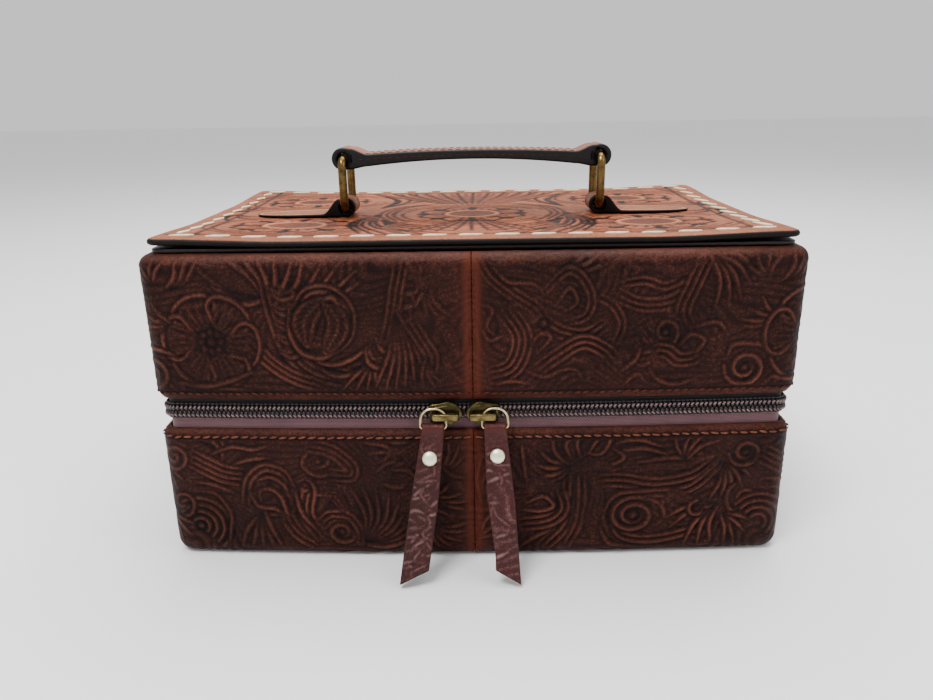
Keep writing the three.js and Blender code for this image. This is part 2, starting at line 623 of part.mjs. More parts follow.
function buildHandle(lid) {
  const { ringX, centreY } = HANDLE;
  add(lid, 'handle_ring_left', handleRing(), BRASS, [-ringX, centreY, RING_BAR_Z]);
  add(lid, 'handle_ring_right', handleRing(), BRASS, [ringX, centreY, RING_BAR_Z]);
  add(lid, 'handle_strap', handleStrap(), STRAP, [0, centreY, RING_TOP_Z]);
}

// Long edges of each tab below its fold, in the tab's own plane: x from the fold's middle, z along the tab.
const TAB_LEFT = {
  points: [[-3.9, -0.2], [-8.2, -25.4], [-12.4, -54.9], [-2.1, -50], [1.5, -25.4], [3.9, -0.2]],
  rivetX: -1.3, rivetDrop: 10.4,
};
const TAB_RIGHT = {
  points: [[-3.9, -0.2], [-3.2, -25.5], [-0.3, -50], [8.6, -55.3], [6.6, -25.5], [3.9, -0.2]],
  rivetX: 0.7, rivetDrop: 9.7,
};

/** One slider with its ring, tab and rivet; `side` is -1 on the left and 1 on the right. */
function buildPull(group, label, side, tab) {
  const nose = SLIDER.noseX + side * GAP / 2;
  const ringX = nose + side * (SLIDER.length - PULL_RING.tailOffset);
  add(group, `slider_${label}`, side < 0 ? slider() : mirrorX(slider()), BRASS, [nose, 0, 0]);
  const pivot = [ringX, PULL_Y, TAB.pivotZ];
  add(group, `pull_ring_${label}`, pullRing(), PALE_BRASS, pivot);
  add(group, `pull_tab_${label}`, pullTab(tab.points, tab.rivetX, tab.rivetDrop), TAB_LEATHER, pivot);
  add(group, `pull_rivet_${label}`, pullRivet(tab.rivetX, tab.rivetDrop), SILVER, pivot);
}

const base = new THREE.Group();
const lid = new THREE.Group();
const pulls = new THREE.Group();
jewelleryCase.add(base, lid, pulls);
buildBase(base);
buildInside(base);
buildLid(lid);
buildHandle(lid);
buildPull(pulls, 'left', -1, TAB_LEFT);
buildPull(pulls, 'right', 1, TAB_RIGHT);

export default jewelleryCase;
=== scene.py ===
"""Looks of the leather jewellery case: every visible surface is built here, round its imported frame.

Lengths are in millimetres until a mesh is made; meshes are in metres. +X right, +Y to the hinged back, +Z up.
"""
import logging
import math
from dataclasses import dataclass
from enum import Enum
from typing import Callable, Iterable, Sequence

import bpy
import numpy as np
from mathutils import Matrix, Vector


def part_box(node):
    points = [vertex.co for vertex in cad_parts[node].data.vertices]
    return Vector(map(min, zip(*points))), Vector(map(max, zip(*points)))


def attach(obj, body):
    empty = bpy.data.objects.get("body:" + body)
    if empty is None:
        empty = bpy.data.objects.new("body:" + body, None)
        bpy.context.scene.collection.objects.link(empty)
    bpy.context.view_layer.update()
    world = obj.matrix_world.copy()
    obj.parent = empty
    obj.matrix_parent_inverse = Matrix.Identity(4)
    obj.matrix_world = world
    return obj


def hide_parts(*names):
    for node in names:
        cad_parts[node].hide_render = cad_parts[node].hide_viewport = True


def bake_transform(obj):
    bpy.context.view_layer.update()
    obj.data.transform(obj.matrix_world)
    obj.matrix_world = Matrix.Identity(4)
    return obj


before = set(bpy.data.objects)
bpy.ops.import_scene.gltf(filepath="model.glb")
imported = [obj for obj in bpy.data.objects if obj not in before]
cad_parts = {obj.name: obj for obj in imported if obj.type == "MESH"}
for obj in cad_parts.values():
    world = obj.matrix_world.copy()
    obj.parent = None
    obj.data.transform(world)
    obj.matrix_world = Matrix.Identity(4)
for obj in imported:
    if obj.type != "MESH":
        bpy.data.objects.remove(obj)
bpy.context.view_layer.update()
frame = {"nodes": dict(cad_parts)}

MM = 0.001
LOG = logging.getLogger("jewellery_case")
Point = Sequence[float]


class Side(Enum):
    """Which half of the case a piece belongs to; the value is the sign of its X."""

    LEFT = -1
    RIGHT = 1

    @property
    def label(self) -> str:
        """The side's word in the names of nodes."""
        return self.name.lower()


def seeded(seed: int) -> np.random.Generator:
    """A random source that gives the same numbers on every run."""
    return np.random.default_rng(seed)


# ---------------------------------------------------------------- meshes


def smoothstep(low: float, high: float, x: np.ndarray) -> np.ndarray:
    """0 below low, 1 above high and a smooth ramp between them."""
    t = np.clip((x - low) / (high - low), 0.0, 1.0)
    return t * t * (3 - 2 * t)


def mesh_object(name: str, vertices: np.ndarray, faces: np.ndarray | list, material: bpy.types.Material,
                attributes: dict[str, np.ndarray] | None = None) -> bpy.types.Object:
    """Makes an object from vertices in millimetres.

    Args:
        name: the piece's name.
        vertices: n by 3 positions in millimetres.
        faces: quads as an array, or a list of polygons.
        material: the piece's finish.
        attributes: named values, one for each vertex.

    Returns:
        The linked object, smooth shaded.
    """
    mesh = bpy.data.meshes.new(name)
    rows = faces.tolist() if isinstance(faces, np.ndarray) else faces
    mesh.from_pydata((np.asarray(vertices) * MM).tolist(), [], rows)
    mesh.polygons.foreach_set("use_smooth", np.ones(len(mesh.polygons), bool))
    for key, values in (attributes or {}).items():
        layer = mesh.attributes.new(key, "FLOAT", "POINT")
        layer.data.foreach_set("value", np.asarray(values, np.float32))
    mesh.materials.append(material)
    mesh.update()
    piece = bpy.data.objects.new(name, mesh)
    bpy.context.collection.objects.link(piece)
    return piece


def grid_faces(rows: int, columns: int, wrap_rows: bool = False, wrap_columns: bool = False) -> np.ndarray:
    """Quads between the points of a rows by columns grid.

    Args:
        rows: number of rows.
        columns: number of points in each row.
        wrap_rows: joins the last row to the first.
        wrap_columns: joins the last column to the first.

    Returns:
        The quads' vertex numbers, n by 4.
    """
    row = np.arange(rows if wrap_rows else rows - 1)
    column = np.arange(columns if wrap_columns else columns - 1)
    a, b = np.meshgrid(row, column, indexing="ij")
    a1, b1 = (a + 1) % rows, (b + 1) % columns
    return np.stack([a * columns + b, a * columns + b1, a1 * columns + b1, a1 * columns + b],
                    -1).reshape(-1, 4)


def activate(piece: bpy.types.Object) -> bpy.types.Object:
    """Deselects everything else and makes this piece the active one."""
    bpy.ops.object.select_all(action="DESELECT")
    piece.select_set(True)
    bpy.context.view_layer.objects.active = piece
    return piece


def apply_modifier(piece: bpy.types.Object, kind: str, **settings: object) -> None:
    """Adds a modifier of that kind with those settings and applies it."""
    activate(piece)
    modifier = piece.modifiers.new(kind.lower(), kind)
    for key, value in settings.items():
        setattr(modifier, key, value)
    bpy.ops.object.modifier_apply(modifier=modifier.name)


def joined(name: str, pieces: list[bpy.types.Object]) -> bpy.types.Object:
    """Joins pieces into one object of that name."""
    bpy.ops.object.select_all(action="DESELECT")
    for piece in pieces:
        piece.select_set(True)
    bpy.context.view_layer.objects.active = pieces[0]
    if len(pieces) > 1:
        bpy.ops.object.join()
    result = bpy.context.view_layer.objects.active
    result.name = result.data.name = name
    return result


def outward(piece: bpy.types.Object) -> bpy.types.Object:
    """Merges doubles and turns all faces outwards."""
    activate(piece)
    bpy.ops.object.mode_set(mode="EDIT")
    bpy.ops.mesh.select_all(action="SELECT")
    bpy.ops.mesh.remove_doubles(threshold=1e-6)
    bpy.ops.mesh.normals_make_consistent(inside=False)
    bpy.ops.object.mode_set(mode="OBJECT")
    return piece


def prism(name: str, outline: Sequence[Point], low: float, high: float, material: bpy.types.Material,
          bevel: float = 0.0, segments: int = 2) -> bpy.types.Object:
    """A flat outline in X and Y, extruded along Z in edit mode, with its rims bevelled.

    Args:
        name: the piece's name.
        outline: the outline's points in millimetres, in order.
        low: height of the first face.
        high: height of the extruded face.
        material: the piece's finish.
        bevel: width of the rims' bevel, 0 for none.
        segments: steps of the bevel.

    Returns:
        The closed piece.
    """
    base = np.array([[x, y, low] for x, y in outline])
    piece = mesh_object(name, base, [list(range(len(base)))], material)
    activate(piece)
    bpy.ops.object.mode_set(mode="EDIT")
    bpy.ops.mesh.select_all(action="SELECT")
    bpy.ops.mesh.extrude_region_move(TRANSFORM_OT_translate={"value": (0, 0, (high - low) * MM)})
    bpy.ops.object.mode_set(mode="OBJECT")
    outward(piece)
    if bevel:
        apply_modifier(piece, "BEVEL", width=bevel * MM, segments=segments, limit_method="ANGLE",
                       angle_limit=math.radians(50), harden_normals=False)
    return piece


def transformed(piece: bpy.types.Object, matrix: Matrix) -> bpy.types.Object:
    """Moves the piece's mesh by a matrix in millimetres and leaves its object at the origin."""
    scaled = Matrix.Diagonal((MM, MM, MM, 1)) @ matrix @ Matrix.Diagonal((1 / MM, 1 / MM, 1 / MM, 1))
    piece.data.transform(scaled)
    if matrix.determinant() < 0:
        piece.data.flip_normals()
    return piece


def swept_loop(name: str, line: np.ndarray, radius: float, sides: int,
               material: bpy.types.Material) -> bpy.types.Object:
    """A round wire along a closed line, made as a bevelled curve and converted to a mesh.

    Args:
        name: the piece's name.
        line: the closed line's points, n by 3, in millimetres.
        radius: the wire's radius.
        sides: resolution of its section.
        material: the piece's finish.

    Returns:
        The wire as a mesh.
    """
    curve = bpy.data.curves.new(name, "CURVE")
    curve.dimensions = "3D"
    curve.bevel_depth = radius * MM
    curve.bevel_resolution = max(1, sides // 4)
    spline = curve.splines.new("POLY")
    spline.points.add(len(line) - 1)
    for point, position in zip(spline.points, line):
        point.co = (*(np.asarray(position) * MM), 1.0)
    spline.use_cyclic_u = True
    piece = bpy.data.objects.new(name, curve)
    bpy.context.collection.objects.link(piece)
    activate(piece)
    bpy.ops.object.convert(target="MESH")
    piece = bpy.context.view_layer.objects.active
    piece.data.materials.clear()
    piece.data.materials.append(material)
    piece.data.polygons.foreach_set("use_smooth", np.ones(len(piece.data.polygons), bool))
    return outward(piece)


def many(name: str, template: bpy.types.Object, places: list[Matrix]) -> bpy.types.Object:
    """Copies a small template to many places, as one mesh, and deletes the template.

    Args:
        name: the new piece's name.
        template: a small mesh about its own origin.
        places: where each copy goes, in millimetres.

    Returns:
        One object that holds all the copies.
    """
    mesh = template.data
    count = len(mesh.vertices)
    local = np.empty(count * 3, np.float64)
    mesh.vertices.foreach_get("co", local)
    local = np.c_[local.reshape(-1, 3) / MM, np.ones(count)]
    polygons = [list(polygon.vertices) for polygon in mesh.polygons]
    vertices = np.concatenate([(local @ np.array(place).T)[:, :3] for place in places])
    faces = [[k + i * count for k in polygon] for i in range(len(places)) for polygon in polygons]
    piece = mesh_object(name, vertices, faces, mesh.materials[0])
    bpy.data.objects.remove(template)
    return piece


def frame_matrix(origin: Point, x_axis: Point, z_axis: Point, scale: float = 1.0) -> Matrix:
    """A place from its origin, its X axis and a direction near its Z axis."""
    x = Vector(x_axis).normalized()
    y = Vector(z_axis).cross(x).normalized()
    z = x.cross(y)
    rotation = Matrix((x * scale, y * scale, z * scale)).transposed()
    return Matrix.Translation(Vector(origin)) @ rotation.to_4x4()


def arc(cx: float, cy: float, radius: float, start: float, end: float,
        steps: int) -> list[tuple[float, float]]:
    """Points of an arc, angles in degrees."""
    angles = np.radians(np.linspace(start, end, steps + 1))
    return [(cx + radius * math.cos(a), cy + radius * math.sin(a)) for a in angles]


def rounded_rectangle(half_x: float, half_y: float, radius: float,
                      steps: int = 6) -> list[tuple[float, float]]:
    """A rounded rectangle about the origin, anticlockwise."""
    points: list[tuple[float, float]] = []
    for sx, sy, start in ((1, -1, -90), (1, 1, 0), (-1, 1, 90), (-1, -1, 180)):
        points += arc(sx * (half_x - radius), sy * (half_y - radius), radius, start, start + 90, steps)
    return points


# ---------------------------------------------------------------- finishes


class Nodes:
    """Builds one material's node tree."""

    def __init__(self, name: str) -> None:
        """Starts a material with only its shader and output."""
        self.material = bpy.data.materials.new(name)
        self.material.use_nodes = True
        self.tree = self.material.node_tree
        self.shader = self.tree.nodes["Principled BSDF"]
        self.object_coordinates = self.add("ShaderNodeTexCoord").outputs["Object"]

    def add(self, kind: str, **settings: object) -> bpy.types.Node:
        """Adds a node and sets its properties."""
        node = self.tree.nodes.new(kind)
        for key, value in settings.items():
            setattr(node, key, value)
        return node

    def link(self, source: bpy.types.NodeSocket, target: bpy.types.NodeSocket) -> None:
        """Links two sockets."""
        self.tree.links.new(source, target)

    def noise(self, scale: float, detail: float = 4.0, roughness: float = 0.55,
              stretch: tuple[float, float, float] | None = None) -> bpy.types.NodeSocket:
        """Noise on object coordinates; scale is per metre.

        Args:
            scale: size of the pattern.
            detail: number of octaves.
            roughness: strength of the finer octaves.
            stretch: scale of each axis before the noise.

        Returns:
            The noise's value, about 0.5 on average.
        """
        node = self.add("ShaderNodeTexNoise")
        node.inputs["Scale"].default_value = scale
        node.inputs["Detail"].default_value = detail
        node.inputs["Roughness"].default_value = roughness
        source = self.object_coordinates
        if stretch:
            mapping = self.add("ShaderNodeMapping")
            mapping.inputs["Scale"].default_value = stretch
            self.link(source, mapping.inputs["Vector"])
            source = mapping.outputs["Vector"]
        self.link(source, node.inputs["Vector"])
        return node.outputs["Fac"]

    def cells(self, scale: float) -> bpy.types.NodeSocket:
        """Distance to the nearest cell centre of a Voronoi pattern; scale is per metre."""
        node = self.add("ShaderNodeTexVoronoi")
        node.inputs["Scale"].default_value = scale
        self.link(self.object_coordinates, node.inputs["Vector"])
        return node.outputs["Distance"]

    def attribute(self, name: str) -> bpy.types.NodeSocket:
        """The value of one of the mesh's own attributes."""
        return self.add("ShaderNodeAttribute", attribute_name=name).outputs["Fac"]

    def math(self, operation: str, a: object, b: object, clamp: bool = False) -> bpy.types.NodeSocket:
        """One arithmetic step on sockets or numbers."""
        node = self.add("ShaderNodeMath", operation=operation, use_clamp=clamp)
        for socket, value in zip(node.inputs, (a, b)):
            if isinstance(value, bpy.types.NodeSocket):
                self.link(value, socket)
            else:
                socket.default_value = value
        return node.outputs[0]

    def ramp(self, value: bpy.types.NodeSocket, stops: Sequence[tuple[float, Sequence[float]]]
             ) -> bpy.types.NodeSocket:
        """Colours a value by stops of (place, linear colour)."""
        node = self.add("ShaderNodeValToRGB")
        elements = node.color_ramp.elements
        while len(elements) < len(stops):
            elements.new(0.5)
        for element, (place, colour) in zip(elements, stops):
            element.position = place
            element.color = (*colour[:3], 1.0)
        self.link(value, node.inputs["Fac"])
        return node.outputs["Color"]

    def mix(self, factor: object, a: object, b: object, blend: str = "MIX") -> bpy.types.NodeSocket:
        """Mixes two colours, given as sockets or linear values."""
        node = self.add("ShaderNodeMix", data_type="RGBA", blend_type=blend)
        for socket, value in ((node.inputs[0], factor), (node.inputs[6], a), (node.inputs[7], b)):
            if isinstance(value, bpy.types.NodeSocket):
                self.link(value, socket)
            elif isinstance(value, (int, float)):
                socket.default_value = value
            else:
                socket.default_value = (*value[:3], 1.0)
        return node.outputs[2]

    def spread(self, value: bpy.types.NodeSocket, low: float, high: float,
               source: tuple[float, float] = (0.3, 0.7)) -> bpy.types.NodeSocket:
        """Stretches a value from the source range to low and high."""
        node = self.add("ShaderNodeMapRange")
        node.inputs["From Min"].default_value, node.inputs["From Max"].default_value = source
        node.inputs["To Min"].default_value, node.inputs["To Max"].default_value = low, high
        self.link(value, node.inputs["Value"])
        return node.outputs["Result"]

    def bump(self, height: bpy.types.NodeSocket, distance: float, strength: float = 1.0,
             below: bpy.types.NodeSocket | None = None) -> bpy.types.NodeSocket:
        """A bump of that many millimetres, on top of another normal if one is given."""
        node = self.add("ShaderNodeBump")
        node.inputs["Distance"].default_value = distance * MM
        node.inputs["Strength"].default_value = strength
        self.link(height, node.inputs["Height"])
        if below is not None:
            self.link(below, node.inputs["Normal"])
        return node.outputs["Normal"]

    def finish(self, colour: bpy.types.NodeSocket | Sequence[float], roughness: bpy.types.NodeSocket | float,
               normal: bpy.types.NodeSocket | None = None, **constants: float) -> bpy.types.Material:
        """Connects the shader and returns the material.

        Args:
            colour: a socket, or a linear colour.
            roughness: a socket, or a number.
            normal: the bumped normal, if there is one.
            constants: other shader sockets by name, with underscores for spaces.

        Returns:
            The finished material.
        """
        for socket, value in (("Base Color", colour), ("Roughness", roughness), ("Normal", normal)):
            if isinstance(value, bpy.types.NodeSocket):
                self.link(value, self.shader.inputs[socket])
            elif isinstance(value, (int, float)):
                self.shader.inputs[socket].default_value = value
            elif value is not None:
                self.shader.inputs[socket].default_value = (*value[:3], 1.0)
        for key, value in constants.items():
            self.shader.inputs[key.replace("_", " ")].default_value = value
        return self.material


def linear(red: int, green: int, blue: int) -> tuple[float, float, float]:
    """A display colour of 0 to 255 as linear values."""
    def convert(value: int) -> float:
        c = value / 255
        return c / 12.92 if c <= 0.04045 else ((c + 0.055) / 1.055) ** 2.4
    return convert(red), convert(green), convert(blue)


@dataclass(frozen=True)
class LeatherFinish:
    """Dyed leather whose colour follows the piece's own relief attribute."""

    name: str
    groove: tuple[float, float, float]
    ground: tuple[float, float, float]
    ridge: tuple[float, float, float]
    seam_tint: tuple[float, float, float]
    gloss: tuple[float, float] = (0.42, 0.62)
    grain: float = 0.09
    mottle: float = 0.45
    specular: float = 0.16

    def build(self) -> bpy.types.Material:
        """Makes the material."""
        n = Nodes(self.name)
        relief = n.attribute("relief")
        pores = n.cells(1500)
        fine = n.noise(1900, 3)
        patchy = n.noise(38, 5, 0.6)
        grainy = n.math("MULTIPLY", n.math("SUBTRACT", n.math("ADD", fine, n.noise(750, 4, 0.7)), 1.0), 0.5)
        value = n.math("ADD", relief, grainy)
        # The relief attribute picks the colour; on the embossed skins and the pulls its upper end is a painted
        # highlight on the crests.
        colour = n.ramp(value,
                        ((0.08, self.groove), (0.42, self.ground), (0.8, self.ridge), (1.0, self.ridge)))
        shade = n.spread(patchy, 1 - self.mottle, 1 + self.mottle * 0.55)
        shaded = n.mix(1.0, colour, n.mix(1.0, (1, 1, 1), shade, "MULTIPLY"), "MULTIPLY")
        tinted = n.mix(n.attribute("seam"), shaded, self.seam_tint)
        rough = n.spread(n.noise(260, 4), *self.gloss)
        coarse = n.bump(pores, self.grain, 0.8)
        normal = n.bump(fine, self.grain * 0.8, 0.7, coarse)
        return n.finish(tinted, rough, normal, IOR=1.45, Specular_IOR_Level=self.specular)


@dataclass(frozen=True)
class EdgeFinish:
    """Burnished, dyed cut edge of thick leather, with layers showing along it."""

    name: str
    colour: tuple[float, float, float]
    light: tuple[float, float, float]

    def build(self) -> bpy.types.Material:
        """Makes the material."""
        n = Nodes(self.name)
        fibres = n.noise(420, 5, 0.6, (1, 1, 6))
        colour = n.ramp(fibres, ((0.35, self.colour), (0.75, self.light)))
        rough = n.spread(n.noise(700, 3), 0.28, 0.5)
        return n.finish(colour, rough, n.bump(fibres, 0.12, 0.7), Specular_IOR_Level=0.3)


@dataclass(frozen=True)
class MetalFinish:
    """Plated metal with darker tarnish and fine rubbing marks."""

    name: str
    bright: tuple[float, float, float]
    tarnish: tuple[float, float, float]
    roughness: tuple[float, float] = (0.22, 0.42)
    cover: tuple[float, float] = (0.4, 0.66)

    def build(self) -> bpy.types.Material:
        """Makes the material."""
        n = Nodes(self.name)
        patches = n.noise(330, 6, 0.62)
        colour = n.ramp(patches, ((self.cover[0], self.bright), (self.cover[1], self.tarnish)))
        rubbed = n.noise(900, 3, 0.5, (1, 1, 5))
        rough = n.spread(patches, *self.roughness)
        return n.finish(colour, rough, n.bump(rubbed, 0.02, 0.5), Metallic=1.0)


class Weave(Enum):
    """How a cloth's threads look."""

    TWILL = "twill"
    NAP = "nap"


@dataclass(frozen=True)
class ClothFinish:
    """Woven tape or napped lining."""

    name: str
    dark: tuple[float, float, float]
    light: tuple[float, float, float]
    weave: Weave
    pitch: float = 0.55

    def build(self) -> bpy.types.Material:
        """Makes the material."""
        n = Nodes(self.name)
        patchy = n.noise(120, 4)
        if self.weave is Weave.TWILL:
            along = n.add("ShaderNodeTexWave", wave_type="BANDS", bands_direction="DIAGONAL")
            across = n.add("ShaderNodeTexWave", wave_type="BANDS", bands_direction="Z")
            for wave in (along, across):
                wave.inputs["Scale"].default_value = 0.314 / (self.pitch * MM)
                wave.inputs["Distortion"].default_value = 0.6
                n.link(n.object_coordinates, wave.inputs["Vector"])
            thread = n.math("MAXIMUM", along.outputs["Fac"], across.outputs["Fac"])
        else:
            thread = n.noise(2600, 3, 0.6)
        colour = n.ramp(n.math("MULTIPLY", thread, n.spread(patchy, 0.75, 1.1)),
                        ((0.15, self.dark), (0.8, self.light)))
        depth = 0.16 if self.weave is Weave.TWILL else 0.1
        return n.finish(colour, 0.85, n.bump(thread, depth, 0.8), Sheen_Weight=0.35, Sheen_Roughness=0.5,
                        Specular_IOR_Level=0.2)


@dataclass(frozen=True)
class PlainFinish:
    """Even material with slight mottling: plastic, thread, board or glass."""

    name: str
    colour: tuple[float, float, float]
    other: tuple[float, float, float]
    roughness: float = 0.45
    scale: float = 300.0
    bump: float = 0.02
    metallic: float = 0.0
    specular: float = 0.5

    def build(self) -> bpy.types.Material:
        """Makes the material."""
        n = Nodes(self.name)
        pattern = n.noise(self.scale, 5)
        colour = n.ramp(pattern, ((0.35, self.colour), (0.68, self.other)))
        return n.finish(colour, self.roughness, n.bump(pattern, self.bump, 0.6), Metallic=self.metallic,
                        Specular_IOR_Level=self.specular)


class Palette:
    """All the finishes, each built once."""

    def __init__(self) -> None:
        """Builds every material."""
        # The embossed leather's ridge colour is where the skins' painted highlight on the crests lands.
        self.embossed = LeatherFinish(
            "embossed_leather", linear(4, 2, 2), linear(39, 16, 12), linear(92, 50, 38),
            linear(80, 34, 21), (0.42, 0.66), 0.16, 0.45, 0.1).build()
        self.tooled = LeatherFinish(
            "tooled_leather", linear(18, 7, 6), linear(124, 64, 40), linear(176, 114, 80),
            linear(14, 8, 8), (0.45, 0.65), 0.05, 0.34).build()
        self.tongue = LeatherFinish(
            "tongue_leather", linear(26, 12, 10), linear(128, 74, 50), linear(180, 130, 98),
            linear(15, 8, 8), (0.45, 0.65), 0.06, 0.3).build()
        self.strap = LeatherFinish(
            "strap_leather", linear(16, 9, 9), linear(124, 66, 42), linear(160, 98, 68),
            linear(12, 8, 9), (0.36, 0.52), 0.05, 0.3, 0.3).build()
        # The pull's light ridge colour is the painted highlight on its creases.
        self.tab = LeatherFinish(
            "tab_leather", linear(12, 5, 6), linear(56, 24, 23), linear(108, 78, 76),
            linear(66, 24, 21), (0.36, 0.56), 0.14, 0.4, 0.22).build()
        self.edge = EdgeFinish("leather_edge", linear(13, 7, 7), linear(44, 27, 26)).build()
        self.brass = MetalFinish("antique_brass", linear(120, 104, 66), linear(62, 52, 30)).build()
        self.olive_brass = MetalFinish(
            "olive_brass", linear(118, 94, 54), linear(44, 33, 22), (0.2, 0.36), (0.44, 0.78)).build()
        self.bronze = MetalFinish(
            "slider_bronze", linear(80, 71, 44), linear(34, 29, 18), (0.26, 0.42), (0.4, 0.7)).build()
        self.pale_brass = MetalFinish("pale_brass", linear(214, 196, 150), linear(160, 140, 94)).build()
        self.silver = MetalFinish(
            "rivet_metal", linear(244, 238, 212), linear(186, 180, 150), (0.4, 0.55), (0.56, 0.8)).build()
        self.tape = ClothFinish("zip_tape", linear(46, 28, 32), linear(112, 78, 84), Weave.TWILL).build()
        # Near-black copy of the tape's cloth for the lid's tape: painted shade where the lid's rim shadows it.
        self.tape_in_painted_shade = ClothFinish("zip_tape_painted_shade", linear(12, 8, 9), linear(22, 14, 16),
                                     Weave.TWILL).build()
        self.coil = PlainFinish("zip_coil", linear(15, 9, 11), linear(26, 16, 19), 0.42).build()
        self.coil_thread = PlainFinish("coil_thread", linear(92, 66, 66), linear(124, 96, 94), 0.6).build()
        self.suede = ClothFinish("suede_lining", linear(84, 58, 42), linear(150, 112, 84), Weave.NAP).build()
        self.cushion = ClothFinish("ring_cushion", linear(104, 76, 56), linear(170, 132, 102),
                                   Weave.NAP).build()
        self.board = PlainFinish("board", linear(70, 50, 38), linear(104, 78, 60), 0.9, 160).build()
        self.thread = PlainFinish(
            "brown_thread", linear(76, 38, 28), linear(112, 66, 48), 0.7, 900, 0.05, specular=0.12).build()
        self.dark_thread = PlainFinish(
            "dark_thread", linear(50, 20, 15), linear(80, 36, 25), 0.7, 900, 0.05, specular=0.1).build()
        self.lace = PlainFinish("cream_lace", linear(206, 186, 154), linear(232, 216, 190), 0.5, 400,
                                0.05).build()
        self.mirror = PlainFinish("mirror_glass", (0.8, 0.84, 0.86), (0.82, 0.86, 0.88), 0.02, 20, 0.0,
                                  1.0).build()


# ---------------------------------------------------------------- relief


class Mark(Enum):
    """How one stroke of the relief is shaped across its width."""

    RIDGE = "ridge"
    LEAF = "leaf"
    HATCHED = "hatched"
    GROOVE = "groove"
    SUNK = "sunk"


def smooth_line(points: Sequence[Point], steps: int = 6) -> np.ndarray:
    """A Catmull-Rom curve through the points."""
    p = np.asarray(points, float)
    if len(p) < 3:
        return np.linspace(p[0], p[-1], steps + 1)
    padded = np.vstack([2 * p[0] - p[1], p, 2 * p[-1] - p[-2]])
    t = np.linspace(0, 1, steps, endpoint=False)[:, None]
    parts = []
    for a, b, c, d in zip(padded, padded[1:], padded[2:], padded[3:]):
        parts.append(0.5 * (2 * b + (c - a) * t + (2 * a - 5 * b + 4 * c - d) * t ** 2
                            + (3 * b - a - 3 * c + d) * t ** 3))
    return np.vstack(parts + [p[-1:]])


@dataclass(frozen=True)
class Stroke:
    """One line of a pattern."""

    points: Sequence[Point]
    width: float = 1.7
    mark: Mark = Mark.RIDGE
    height: float = 1.0
    taper: float = 0.55


